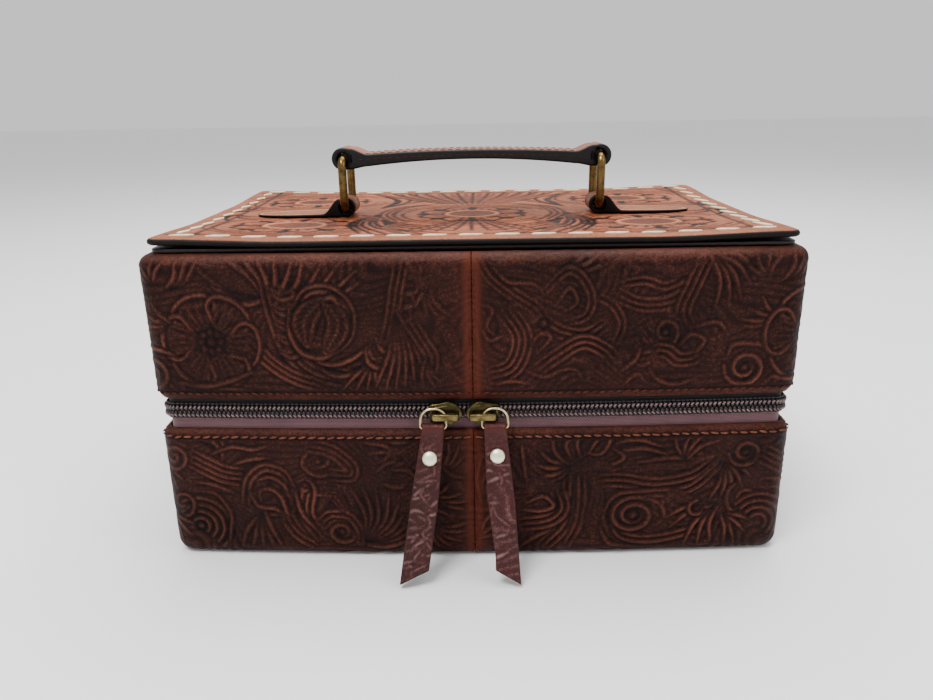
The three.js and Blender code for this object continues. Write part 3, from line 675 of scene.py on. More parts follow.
class Relief:
    """A height map that strokes are painted on: -1 in the grooves, 1 on the ridges."""

    def __init__(self, width: float, low: float, high: float, step: float = 0.36, start: float = 0.0) -> None:
        """Makes a flat map.

        Args:
            width: length of the map along u.
            low: lowest v.
            high: highest v.
            step: distance between samples.
            start: lowest u.
        """
        self.start, self.low, self.step = start, low, step
        self.u = np.arange(start, start + width + step, step)
        self.v = np.arange(low, high + step, step)
        self.height = np.zeros((len(self.v), len(self.u)))

    def flow(self, pitch: float, depth: float) -> None:
        """Fills the map with swirling parallel lines."""
        u, v = np.meshgrid(self.u, self.v)
        s = v + 7.5 * np.sin(u / 11.3 + 1.3 * np.sin(v / 9)) + 2.6 * np.sin(u / 6.1 + v / 14)
        self.height += depth * np.sin(2 * math.pi * s / pitch)

    def window(self, low: np.ndarray, high: np.ndarray) -> tuple[slice, slice] | None:
        """The part of the map between two corners, or None if it is off the map."""
        a = np.floor((low - (self.start, self.low)) / self.step).astype(int)
        b = np.ceil((high - (self.start, self.low)) / self.step).astype(int) + 1
        a, b = np.maximum(a, 0), np.minimum(b, (len(self.u), len(self.v)))
        return None if (b <= a).any() else (slice(a[1], b[1]), slice(a[0], b[0]))

    def cover(self, window: tuple[slice, slice], value: np.ndarray, weight: np.ndarray) -> None:
        """Lays heights over what is in a window."""
        self.height[window] = self.height[window] * (1 - weight) + value * weight

    def paint(self, stroke: Stroke) -> None:
        """Paints one stroke over what is there."""
        line = smooth_line(stroke.points)
        reach = stroke.width
        window = self.window(line.min(0) - reach, line.max(0) + reach)
        if window is None:
            return
        u, v = np.meshgrid(self.u[window[1]], self.v[window[0]])
        spot = np.stack([u, v], -1)[..., None, :]
        a, step = line[:-1], np.diff(line, axis=0)
        length = np.maximum(np.linalg.norm(step, axis=1), 1e-6)
        t = np.clip(((spot - a) * step).sum(-1) / length ** 2, 0, 1)
        gap = np.linalg.norm(spot - (a + t[..., None] * step), axis=-1)
        nearest = gap.argmin(-1)[..., None]
        distance = np.take_along_axis(gap, nearest, -1)[..., 0]
        run = np.r_[0, np.cumsum(length)[:-1]] + t * length
        run = np.take_along_axis(run, nearest, -1)[..., 0]
        along = run / length.sum()
        half = stroke.width / 2 * (1 - stroke.taper * np.abs(2 * along - 1) ** 2.2)
        if stroke.mark in (Mark.LEAF, Mark.HATCHED):
            half = stroke.width / 2 * (0.12 + 0.88 * np.sin(math.pi * np.clip(along, 0, 1)) ** 0.75)
        r = distance / half
        value, weight = self.profile(stroke, r, distance, run)
        self.cover(window, value, weight)

    @staticmethod
    def profile(stroke: Stroke, r: np.ndarray, distance: np.ndarray,
                run: np.ndarray) -> tuple[np.ndarray, np.ndarray]:
        """A stroke's height and cover, from the distance to its middle line.

        Args:
            stroke: the stroke.
            r: distance over half the stroke's width.
            distance: distance in millimetres.
            run: distance along the stroke in millimetres.

        Returns:
            The height, and how much it covers what is below.
        """
        if stroke.mark is Mark.RIDGE:
            value = 1 - 2 * smoothstep(0.35, 1.25, r)
            return stroke.height * value, 1 - smoothstep(1.3, 1.7, r)
        if stroke.mark is Mark.GROOVE:
            return np.full_like(r, -stroke.height), 1 - smoothstep(0.35, 1.15, r)
        if stroke.mark is Mark.SUNK:
            return np.full_like(r, -stroke.height), 1 - smoothstep(0.7, 1.05, r)
        rim = np.exp(-((r - 0.8) / 0.2) ** 2)
        body = -0.55 + 0.35 * (1 - r) + 1.3 * rim + 1.0 * np.exp(-(distance / 0.5) ** 2)
        if stroke.mark is Mark.HATCHED:
            body += 0.7 * np.sin(2 * math.pi * (run - 0.9 * distance) / 1.9) * (1 - smoothstep(0.6, 0.8, r))
        value = np.where(r < 1.02, body, -0.9)
        return stroke.height * value, 1 - smoothstep(1.1, 1.35, r)

    def bead(self, x: float, z: float, radius: float, height: float = 1.0) -> None:
        """A round bead with a groove round it."""
        centre = np.array([x, z])
        window = self.window(centre - 1.6 * radius, centre + 1.6 * radius)
        if window is None:
            return
        u, v = np.meshgrid(self.u[window[1]], self.v[window[0]])
        r = np.hypot(u - x, v - z) / radius
        weight = 1 - smoothstep(1.25, 1.55, r)
        self.cover(window, height * np.cos(math.pi * np.minimum(r, 1.25) / 1.25), weight)

    def soften(self, sigma: float) -> None:
        """Blurs the map by that many millimetres."""
        reach = int(math.ceil(3 * sigma / self.step))
        kernel = np.exp(-0.5 * (np.arange(-reach, reach + 1) * self.step / sigma) ** 2)
        kernel /= kernel.sum()
        for axis in (0, 1):
            self.height = np.apply_along_axis(lambda row: np.convolve(np.pad(row, reach, "edge"), kernel,
                                                                      "valid"),
                                              axis, self.height)

    def wear(self, rng: np.random.Generator, size: float, share: float) -> None:
        """Makes the relief shallower in soft patches of about that size."""
        rows, columns = (max(3, int(n * self.step / size) + 2) for n in self.height.shape)
        coarse = rng.uniform(0, 1, (rows, columns))
        y = np.linspace(0, rows - 1.001, self.height.shape[0])[:, None]
        x = np.linspace(0, columns - 1.001, self.height.shape[1])[None, :]
        i, j = y.astype(int), x.astype(int)
        fy, fx = smoothstep(0, 1, y - i), smoothstep(0, 1, x - j)
        patch = ((coarse[i, j] * (1 - fx) + coarse[i, j + 1] * fx) * (1 - fy)
                 + (coarse[i + 1, j] * (1 - fx) + coarse[i + 1, j + 1] * fx) * fy)
        self.height = self.height * (1 - share * patch)

    def sample(self, u: np.ndarray, v: np.ndarray) -> np.ndarray:
        """Heights at any places, by linear interpolation."""
        a = np.clip((u - self.start) / self.step, 0, len(self.u) - 1.001)
        b = np.clip((v - self.low) / self.step, 0, len(self.v) - 1.001)
        i, j = b.astype(int), a.astype(int)
        fb, fa = b - i, a - j
        h = self.height
        return ((h[i, j] * (1 - fa) + h[i, j + 1] * fa) * (1 - fb)
                + (h[i + 1, j] * (1 - fa) + h[i + 1, j + 1] * fa) * fb)


# ---------------------------------------------------------------- motifs


def parallel(points: Sequence[Point], offsets: Iterable[float], width: float = 1.6,
             mark: Mark = Mark.RIDGE) -> list[Stroke]:
    """Copies of a line, each moved sideways by an offset."""
    line = smooth_line(points, 3)
    tangent = np.gradient(line, axis=0)
    normal = np.stack([-tangent[:, 1], tangent[:, 0]], 1)
    normal /= np.maximum(np.linalg.norm(normal, axis=1, keepdims=True), 1e-6)
    return [Stroke(line + normal * offset, width, mark) for offset in offsets]


def fan(root: Point, tips: Sequence[Point], bend: float = 0.12, width: float = 1.7,
        mark: Mark = Mark.RIDGE) -> list[Stroke]:
    """Curved lines from one root to many tips."""
    strokes = []
    for tip in tips:
        a, b = np.asarray(root, float), np.asarray(tip, float)
        side = np.array([-(b - a)[1], (b - a)[0]])
        strokes.append(Stroke([a, a + (b - a) * 0.5 + side * bend, b], width, mark))
    return strokes


def spiral(centre: Point, radius: float, turns: float, start: float, squash: float = 1.0,
           width: float = 1.8) -> list[Stroke]:
    """A line that winds into its centre; a negative number of turns winds the other way."""
    t = np.linspace(0, 1, max(8, int(abs(turns) * 14)))
    angle = math.radians(start) + 2 * math.pi * turns * t
    r = radius * (1 - 0.86 * t)
    line = np.stack([centre[0] + r * np.cos(angle), centre[1] + r * squash * np.sin(angle)], 1)
    return [Stroke(line, width, taper=0.25)]


def flower(centre: Point, radius: float, petals: int, start: float = 90.0) -> list[Stroke]:
    """Outlined, veined petals round a centre."""
    strokes = []
    for k in range(petals):
        a = math.radians(start + 360 * k / petals)
        direction, side = np.array([math.cos(a), math.sin(a)]), np.array([-math.sin(a), math.cos(a)])
        middle, wide = np.asarray(centre) + direction * radius * 0.36, radius * math.sin(math.pi
                                                                                         / petals) * 0.98
        loop = [(0.0, -0.25), (0.28, -0.95), (0.56, -0.8), (0.68, 0.0), (0.56, 0.8), (0.28, 0.95),
                (0.0, 0.25)]
        outline = [middle + direction * radius * x + side * wide * y for x, y in loop]
        strokes.append(Stroke(outline, 1.9, taper=0.1))
        for vein in (-0.5, -0.17, 0.17, 0.5):
            strokes.append(Stroke([middle + side * wide * vein * 0.6,
                                   middle + direction * radius * 0.5 + side * wide * vein * 1.15], 1.15))
    return strokes


def hooks(line: Sequence[Point], count: int, length: float, turn: float, width: float = 1.8) -> list[Stroke]:
    """Fingers that leave a line on one side and curl back along it; turn's sign is the side."""
    curve = smooth_line(line, 8)
    strokes = []
    for k in np.linspace(0.08, 0.92, count):
        i = int(k * (len(curve) - 2))
        ahead = curve[i + 1] - curve[i]
        ahead = ahead / np.linalg.norm(ahead)
        side = np.array([-ahead[1], ahead[0]]) * turn
        a = curve[i]
        strokes.append(Stroke([a, a + ahead * length * 0.3 + side * length * 0.45,
                               a + ahead * length * 0.12 + side * length * 0.92,
                               a - ahead * length * 0.2 + side * length * 0.86], width))
        strokes.append(Stroke([a - ahead * 1.6, a + ahead * length * 0.05 + side * length * 0.4,
                               a - ahead * length * 0.06 + side * length * 0.62], width * 0.75))
    return strokes


LEAF, HATCHED, SUNK, GROOVE = Mark.LEAF, Mark.HATCHED, Mark.SUNK, Mark.GROOVE


def lid_scrolls() -> list[Stroke]:
    """The lid's first pattern: a flower, a ring with two leaves inside, a tall stem with hooked lobes."""
    s: list[Stroke] = []
    s += fan((69, 100), [(94, 113), (90, 109), (88, 105), (86, 102)], -0.16, 2.2)
    s += fan((69, 99), [(83, 114), (77, 114), (72, 114), (66, 114), (60, 113)], 0.1, 2.3)
    s += fan((66, 99), [(56, 114), (50, 112), (44, 112), (38, 110), (37, 106)], 0.14, 2.2)
    s += parallel([(69, 104), (67, 92), (63, 81), (55, 73.5), (42, 70)], (-4.2, -2.1, 0, 2.1), 2.0)
    s += parallel([(76, 88), (70, 80), (62, 74), (52, 70.5)], (0, 2.0, 4.0), 1.9)
    s += hooks([(68, 104), (67.5, 90), (66, 76)], 5, 8.5, -1)
    s += parallel([(62, 96), (56, 103.5), (47, 104), (40.5, 97), (41, 87), (47, 80.5)], (0, 2.1), 2.0)
    s += [Stroke([(62, 97), (62.5, 88), (59, 81), (52, 79), (46, 82)], 2.2)]
    s += [Stroke([(50, 100), (57, 93), (57, 83)], 8.5, HATCHED),
          Stroke([(50, 100), (45.5, 91), (51, 80.5)], 8.0, HATCHED)]
    s += [Stroke([(50, 100), (47, 100.5), (45, 98)], 2.6),
          Stroke([(54, 77.5), (48, 76.5), (41, 79), (35, 84)], 2.2)]
    s += [Stroke([(54, 76), (48, 72.5), (41, 73.5), (34, 79)], 2.0)]
    s += fan((33, 78), [(46, 67), (41, 67), (37, 67), (33.5, 68)], 0.05, 1.8)
    s += hooks([(25, 113), (28, 101), (32, 88), (40, 79)], 7, 9.5, -1, 2.1)
    s += parallel([(24, 114), (26.5, 103), (28.5, 92), (31, 84)], (-3.2, -1.2, 0.9), 1.8)
    s += fan((25.5, 96), [(34, 68), (30.5, 67), (27, 67), (23.5, 67), (20, 69), (17, 73)], -0.05, 1.9)
    s += [Stroke([(22, 114), (17, 106), (11, 101), (5, 99)], 3.4, LEAF),
          Stroke([(13, 112), (9, 108), (4, 110)], 3.2, LEAF)]
    s += fan((14, 103), [(19, 97), (15, 94), (11, 93), (7, 94)], 0.12, 1.9)
    s += parallel([(21, 92), (17, 85), (14, 79), (15, 71)], (-2.0, 0, 2.0), 1.8)
    s += [Stroke([(12, 92), (8, 88), (5, 80)], 5.0, HATCHED), Stroke([(10, 79), (7, 73), (3, 70)], 3.2, LEAF)]
    s += fan((16, 79), [(10, 69), (13, 68), (17, 68)], 0.1, 1.7)
    s += fan((104, 104), [(92, 114), (96, 114), (100, 114)], 0.15, 2.1)
    s += flower((90.5, 85), 16.5, 6, 66)
    s += [Stroke([(77, 74), (84, 71), (94, 68.5), (104, 70)], 2.2),
          Stroke([(78, 67), (86, 67.5), (92, 66.5)], 1.8)]
    return s


def lid_stems() -> list[Stroke]:
    """The lid's second pattern: stems from a corner, a curled leaf, and long leaves that meet at a high root."""
    s: list[Stroke] = []
    s += parallel([(2, 115), (7, 107), (15, 100.5), (21, 96.5), (24.5, 92)], (-1.9, 0, 2.0), 1.6)
    s += [Stroke([(6, 112), (12, 105.5), (21, 104.5), (24.5, 100)], 1.7),
          Stroke([(9, 112), (18, 113), (30, 108)], 4.6, HATCHED)]
    s += fan((30, 110), [(38, 114), (43, 114), (45, 111)], -0.12, 1.8)
    s += parallel([(25, 101), (33, 108), (39, 101), (38, 94), (31, 92)], (0, 2.1), 1.7)
    s += [Stroke([(28, 97), (33, 103), (35.5, 98), (31, 95)], 1.8)]
    s += parallel([(25, 91), (31, 87.5), (39, 86.5), (46, 91)], (-2.1, 0, 2.1), 1.7)
    s += parallel([(42, 99), (47, 96), (50, 90), (48, 84)], (0, 2.1), 1.7)
    s += parallel([(21, 73), (29, 79), (38, 84), (46, 80.5), (49.5, 76)], (-2.2, 0, 2.2), 1.8)
    s += [Stroke([(18, 74), (25, 71.5), (31, 74), (36, 74), (38, 70)], 1.8),
          Stroke([(34, 78), (40, 76), (40, 70)], 3.4, LEAF)]
    s += parallel([(10, 96), (16, 86), (13, 76), (5, 73)], (-2.1, 0, 2.1, 4.2), 1.7)
    s += [Stroke([(2, 98), (7, 96), (5, 90), (9, 86)], 1.8), Stroke([(3, 90), (6, 85), (11, 87)], 1.7)]
    s += [Stroke([(22, 80), (27, 86), (23, 87), (20, 83)], 1.7), Stroke([(8, 69), (14, 70), (20, 69)], 1.6)]
    s += parallel([(48, 101), (57, 97), (68, 98), (76, 106), (78, 114)], (-2.1, 0, 2.1), 1.8)
    s += parallel([(50, 103), (58, 104), (65, 102), (73, 106), (78, 113)], (0, 2.2), 1.8)
    s += [Stroke([(60, 112), (67, 108), (74, 110), (78, 114)], 4.0, LEAF),
          Stroke([(44, 108), (50, 112), (56, 109)], 3.0, LEAF)]
    s += fan((79, 114), [(91, 98), (94, 103), (95, 108), (87, 95), (82, 94)], 0.14, 2.0)
    s += parallel([(78, 112), (74, 102), (71.5, 94), (75, 87)], (-2.2, 0, 2.2), 1.8)
    s += hooks([(60, 92), (56, 84), (54, 74)], 4, 7, 1, 1.7)
    s += [Stroke([(66, 95), (70, 88), (66, 81)], 4.4, HATCHED)]
    s += spiral((66, 87), 5.5, 1.6, 200, 1.1, 1.7)
    s += [Stroke([(71, 82), (75, 86), (79.5, 84), (77, 80), (71, 80)], 2.0),
          Stroke([(76, 89), (84, 90), (88, 85)], 2.0)]
    s += [Stroke([(82, 84), (85, 85), (85.5, 81), (83, 78)], 3.6, HATCHED)]
    s += parallel([(62, 78), (66, 78), (70, 75), (76, 75), (79, 77)], (0, 2.2, 4.4), 1.8)
    s += [Stroke([(61, 74), (64, 70), (70, 68), (78, 70)], 2.0), Stroke([(51, 73), (56, 77), (58, 82)], 2.2)]
    s += [Stroke([(52, 68), (57, 72), (60, 69)], 2.0), Stroke([(88, 78), (90, 82), (98, 82), (104, 80)], 2.2)]
    s += spiral((94.5, 73.5), 7.5, 1.9, 170, 0.95, 2.1)
    s += fan((104, 92), [(92, 88), (91, 91), (94, 95), (98, 99)], 0.1, 1.9)
    s += fan((100, 106), [(92, 110), (95, 113), (100, 114), (104, 113)], 0.12, 1.8)
    return s


def base_acanthus() -> list[Stroke]:
    """The base's first pattern: big leaf fingers that sweep down to small spirals."""
    s: list[Stroke] = []
    s += parallel([(105, 40), (98, 36), (92, 33), (85, 32)], (-4.4, -2.2, 0, 2.2), 2.0)
    s += fan((88, 26), [(104, 28), (103, 31)], 0.05, 2.0)
    s += fan((92, 41), [(104, 49), (100, 49), (96, 48), (92, 49)], 0.18, 2.1)
    s += [Stroke([(96, 42), (88, 45), (80, 44), (74, 46)], 2.0), Stroke([(88, 38), (82, 40), (74, 41)], 2.0)]
    for radius in (3.2, 6.0, 8.8, 11.6):
        s.append(Stroke([(103 - radius * math.cos(a), 12.5 + radius * math.sin(a))
                         for a in np.radians(np.linspace(-50, 140, 9))], 2.0, taper=0.2))
    s += [Stroke([(93, 4), (92, 10), (91, 18), (96, 26), (104, 27)], 2.0)]
    s += parallel([(86, 22), (84, 32), (77, 38), (69, 35.5), (66, 29)], (0, 2.3), 2.1)
    s += [Stroke([(80, 31.5), (75, 33), (70, 30), (68, 24)], 2.0)]
    s += [Stroke([(79, 23), (79, 27.5), (74.5, 28), (71, 24), (69, 16), (63, 8)], 2.3)]
    s += [Stroke([(83, 27), (80, 21), (73, 19.5), (70, 13)], 2.2),
          Stroke([(72, 17.5), (79, 17), (85, 12), (88, 4)], 2.3)]
    s += fan((78, 19), [(84, 4), (80, 4), (76, 4), (72.5, 4)], 0.04, 2.3)
    s += parallel([(70, 17), (66, 10), (59, 5)], (0, -2.3, 2.3), 2.1)
    s += parallel([(65, 31), (61.5, 32.5), (58.5, 28), (60, 18), (55, 9)], (0, 2.4, 4.6), 2.2)
    s += parallel([(66, 28), (64, 18), (58, 10)], (0,), 2.2)
    s += spiral((56.5, 39.5), 8.5, 1.7, 130, 0.85, 2.0)
    s += parallel([(60, 48), (50, 45.5), (42.5, 38), (44, 32), (53, 32)], (0, 2.3, 4.4), 2.0)
    s += parallel([(59, 15), (54, 19), (46, 18), (41.5, 11), (42, 5)], (0, 2.2, 4.4), 2.0)
    s += spiral((49.5, 10.5), 5.4, 1.5, 200, 0.9, 2.1)
    s += [Stroke([(57.5, 26), (51, 25), (47, 18)], 4.6, HATCHED),
          Stroke([(50, 30), (46, 28), (45, 21)], 3.4, HATCHED)]
    s += fan((40.5, 5), [(46, 30), (41, 30), (36, 29), (31, 27), (27.5, 23), (26, 18), (25, 13.5), (25, 10),
                         (26, 6.5)],
             0.11, 2.2)
    s += fan((25, 39), [(40, 47), (37, 43), (35, 39), (36, 35), (31, 33)], 0.16, 2.0)
    s += [Stroke([(20, 32), (24, 36), (31, 36)], 2.0), Stroke([(33, 48), (27, 47), (21, 48)], 2.0)]
    s += [Stroke([(24, 43), (29, 43), (32, 40)], 3.4, LEAF), Stroke([(34, 31), (28, 29), (24, 31)], 2.2)]
    s += fan((17, 13), [(1, 15), (2, 11), (4, 6.5), (8, 4), (13, 4)], 0.08, 1.9)
    s += fan((15, 26), [(3, 20), (2, 23.5), (4, 27), (9, 31)], 0.12, 1.9)
    s += fan((12, 36), [(3, 42), (5, 46), (9, 48.5)], 0.1, 1.8)
    s += [Stroke([(12, 38), (8, 34), (3, 33)], 2.0), Stroke([(20, 22), (14, 20), (8, 17)], 2.0)]
    return s


def base_spirals() -> list[Stroke]:
    """The base's second pattern: a large spiral, long strokes from two roots and a column of upright fingers."""
    s: list[Stroke] = []
    s += parallel([(89, 39), (80, 31.5), (66, 29), (54, 31), (44, 31)], (-2.4, 0, 2.4), 2.0)
    s += parallel([(88, 37), (78, 28), (64, 26.5), (52, 25), (47.5, 17), (50, 8)], (0, 2.3), 2.0)
    s += [Stroke([(86, 40), (76, 37), (66, 37), (58, 34)], 4.2, LEAF),
          Stroke([(80, 39), (70, 39.5), (58, 38)], 2.0)]
    s += parallel([(52, 17), (55, 9.5), (64, 7.5), (74, 9), (84, 13), (90, 21)], (0, -2.3), 2.1)
    s += spiral((58.5, 16.5), 9.2, 2.3, 20, 0.86, 2.2)
    s += [Stroke([(62, 24), (68, 21), (70, 16), (67, 12)], 2.1),
          Stroke([(68, 20), (73, 25), (80, 23)], 3.8, LEAF)]
    s += fan((90, 20), [(70, 15), (72, 11), (78, 4), (83, 4), (88, 5)], -0.12, 2.1)
    s += spiral((82, 18.5), 3.6, 1.2, 90, 1.0, 1.8)
    s += fan((91, 38), [(86, 22), (90, 22), (94, 24), (98, 27), (101, 31)], 0.08, 2.0)
    s += spiral((98, 41), 6.2, 1.7, 180, 0.95, 2.0)
    s += spiral((99, 22), 7.0, 1.5, 120, 1.1, 2.0)
    s += fan((91, 16), [(103, 13), (101, 8), (97, 4), (93, 4)], 0.08, 2.0)
    s += [Stroke([(51, 46), (59, 47), (68, 44)], 2.2), Stroke([(51, 42.5), (61, 43.5), (70, 41)], 2.2)]
    s += fan((77, 39), [(72, 48), (77, 48), (82, 48), (88, 46)], 0.12, 2.0)
    s += [Stroke([(47, 36), (54, 40), (50, 44)], 2.0), Stroke([(40, 36), (46, 37), (51, 35)], 4.0, LEAF)]
    s += parallel([(38.5, 40), (37, 47), (42, 50)], (0, 2.3), 2.0)
    s += [Stroke([(41, 42), (45, 48), (49, 48), (46, 42), (41, 42)], 2.2),
          Stroke([(35, 40), (33, 46), (37, 49)], 2.2)]
    s += parallel([(35, 33), (34.5, 22), (33, 13), (25, 4)], (-2.3, 0, 2.3), 2.2)
    s += parallel([(40, 34), (40.5, 22), (39, 12), (35, 4)], (-2.3, 0), 2.2)
    s += [Stroke([(43, 33), (45, 24), (43, 14), (44, 6)], 5.4, HATCHED),
          Stroke([(46, 12), (50, 5), (58, 3.5)], 2.0)]
    s += parallel([(30, 28), (32, 20), (27, 15), (16, 13.5)], (0, -2.4, 2.4), 2.1)
    s += [Stroke([(16, 20), (24, 19), (29, 21), (25, 25), (18, 22)], 2.1),
          Stroke([(28, 11), (22, 8), (16, 4)], 2.2)]
    s += fan((34, 38), [(28, 31), (24, 33), (22, 38), (23, 44), (28, 48)], 0.15, 2.1)
    s += [Stroke([(25, 30), (21, 31), (20, 26)], 3.6, LEAF), Stroke([(17, 46), (18, 38), (19, 31)], 2.0)]
    s += fan((3, 22), [(8, 34), (6, 38), (3, 41)], 0.1, 1.8)
    s += fan((2, 8), [(8, 20), (10, 14), (11, 8)], 0.1, 1.8)
    s += [Stroke([(14, 28), (10, 24), (5, 25)], 2.0), Stroke([(13, 48), (8, 44), (3, 47)], 2.0)]
    return s


FLOWER_HEART = (90.5, 85.0)
HEART_BEADS, HEART_REACH, HEART_BEAD, HEART_MIDDLE = 8, 3.6, 1.25, 1.5
PATTERN_SPAN = 104.0
STRETCHES = 4


def paint_wall(first: list[Stroke], second: list[Stroke], hearts: Sequence[tuple[int, Point]], low: float,
               high: float, length: float, beads: Sequence[tuple[float, float, float]]) -> Relief:
    """Paints one half of the case's wall, the first pattern at the front and both in turn round to the back.

    Args:
        first: the pattern that starts at the front seam.
        second: the pattern that follows it.
        hearts: numbers of the stretches that hold the flower, with the flower's centre.
        low: the map's lowest height.
        high: the map's highest height.
        length: the wall's length along its outline.
        beads: extra beads on the first stretch, as x, z and radius.

    Returns:
        The painted map.
    """
    relief = Relief(length, low, high)
    relief.flow(2.6, 0.5)
    for stretch in range(STRETCHES):
        turned = stretch % 2 == 1
        start = PATTERN_SPAN * (stretch + 1 if turned else stretch)
        sign = -1 if turned else 1
        for stroke in (first if stretch % 2 == 0 else second):
            points = np.asarray(stroke.points, float).copy()
            points[:, 0] = start + sign * points[:, 0]
            relief.paint(Stroke(points, stroke.width, stroke.mark, stroke.height, stroke.taper))
        for number, (x, z) in hearts:
            if number == stretch:
                for k in range(HEART_BEADS + 1):
                    a = 2 * math.pi * k / HEART_BEADS
                    r, bead = (0.0, HEART_MIDDLE) if k == HEART_BEADS else (HEART_REACH, HEART_BEAD)
                    relief.bead(start + sign * x + r * math.cos(a), z + r * math.sin(a), bead)
    for x, z, radius in beads:
        relief.bead(x, z, radius)
    relief.soften(0.3)
    relief.wear(seeded(int(length) + len(first)), 14.0, 0.35)
    return relief


# ---------------------------------------------------------------- the case's plan


@dataclass(frozen=True)
class Plan:
    """The case seen from above: a straight back, bowed front and sides, and rounded corners."""

    half_x: float = 114.5
    half_y: float = 79.0
    radius: float = 7.0
    front_bow: float = 3.0
    side_bow: float = 1.0

    @property
    def straight_x(self) -> float:
        """Half the front's stretch between its corners."""
        return self.half_x - self.radius

    @property
    def straight_y(self) -> float:
        """Half the side's stretch between its corners."""
        return self.half_y - self.radius

    def half_line(self, count: int = 1600) -> np.ndarray:
        """The right half's outline from the middle of the front round to the middle of the back."""
        sx, sy = self.straight_x, self.straight_y
        x = np.linspace(0, sx, count // 4)
        front = np.stack([x, -self.half_y - self.front_bow * (1 - (x / sx) ** 2)], 1)
        y = np.linspace(-sy, sy, count // 3)
        side = np.stack([self.half_x + self.side_bow * (1 - (y / sy) ** 2), y], 1)
        back = np.stack([x[::-1], np.full_like(x, self.half_y)], 1)
        near = np.array(arc(sx, -sy, self.radius, -90, 0, 60))
        far = np.array(arc(sx, sy, self.radius, 0, 90, 60))
        return np.vstack([front, near[1:], side[1:], far[1:], back[1:]])

    def at(self, u: np.ndarray, side: Side) -> tuple[np.ndarray, np.ndarray]:
        """Points and outward normals at distances along one half's outline.

        Args:
            u: distances from the middle of the front.
            side: the half.

        Returns:
            The points and the normals, both n by 2.
        """
        line = self.half_line()
        run = np.r_[0, np.cumsum(np.linalg.norm(np.diff(line, axis=0), axis=1))]
        point = np.stack([np.interp(u, run, line[:, k]) for k in (0, 1)], 1)
        ahead = np.stack([np.interp(u + 0.6, run, line[:, k]) for k in (0, 1)], 1)
        behind = np.stack([np.interp(u - 0.6, run, line[:, k]) for k in (0, 1)], 1)
        tangent = ahead - behind
        normal = np.stack([tangent[:, 1], -tangent[:, 0]], 1)
        normal /= np.linalg.norm(normal, axis=1, keepdims=True)
        return point * (side.value, 1), normal * (side.value, 1)

    @property
    def half_length(self) -> float:
        """Length of one half's outline."""
        return float(np.linalg.norm(np.diff(self.half_line(), axis=0), axis=1).sum())


PLAN = Plan()


def on_outline(value: float) -> tuple[Side, np.ndarray, np.ndarray]:
    """The half, point and outward normal at a distance from the middle of the front; negative is left."""
    side = Side.LEFT if value < 0 else Side.RIGHT
    point, normal = PLAN.at(np.array([abs(value)]), side)
    return side, point[0], normal[0]


@dataclass(frozen=True)
class Heights:
    """Heights of the case's parts at rest."""

    zip_line: float = 58.2
    panel_top: float = 118.6
    ring_bar: float = 122.6
    ring_top: float = 141.8


Z = Heights()


def profile_line(points: Sequence[Point], step: float) -> np.ndarray:
    """Points of a profile, with longer stretches divided into steps."""
    parts = [np.asarray(points[0], float)[None]]
    for a, b in zip(points, points[1:]):
        count = max(1, round(math.dist(a, b) / step))
        parts.append(np.linspace(a, b, count + 1)[1:])
    return np.vstack(parts)


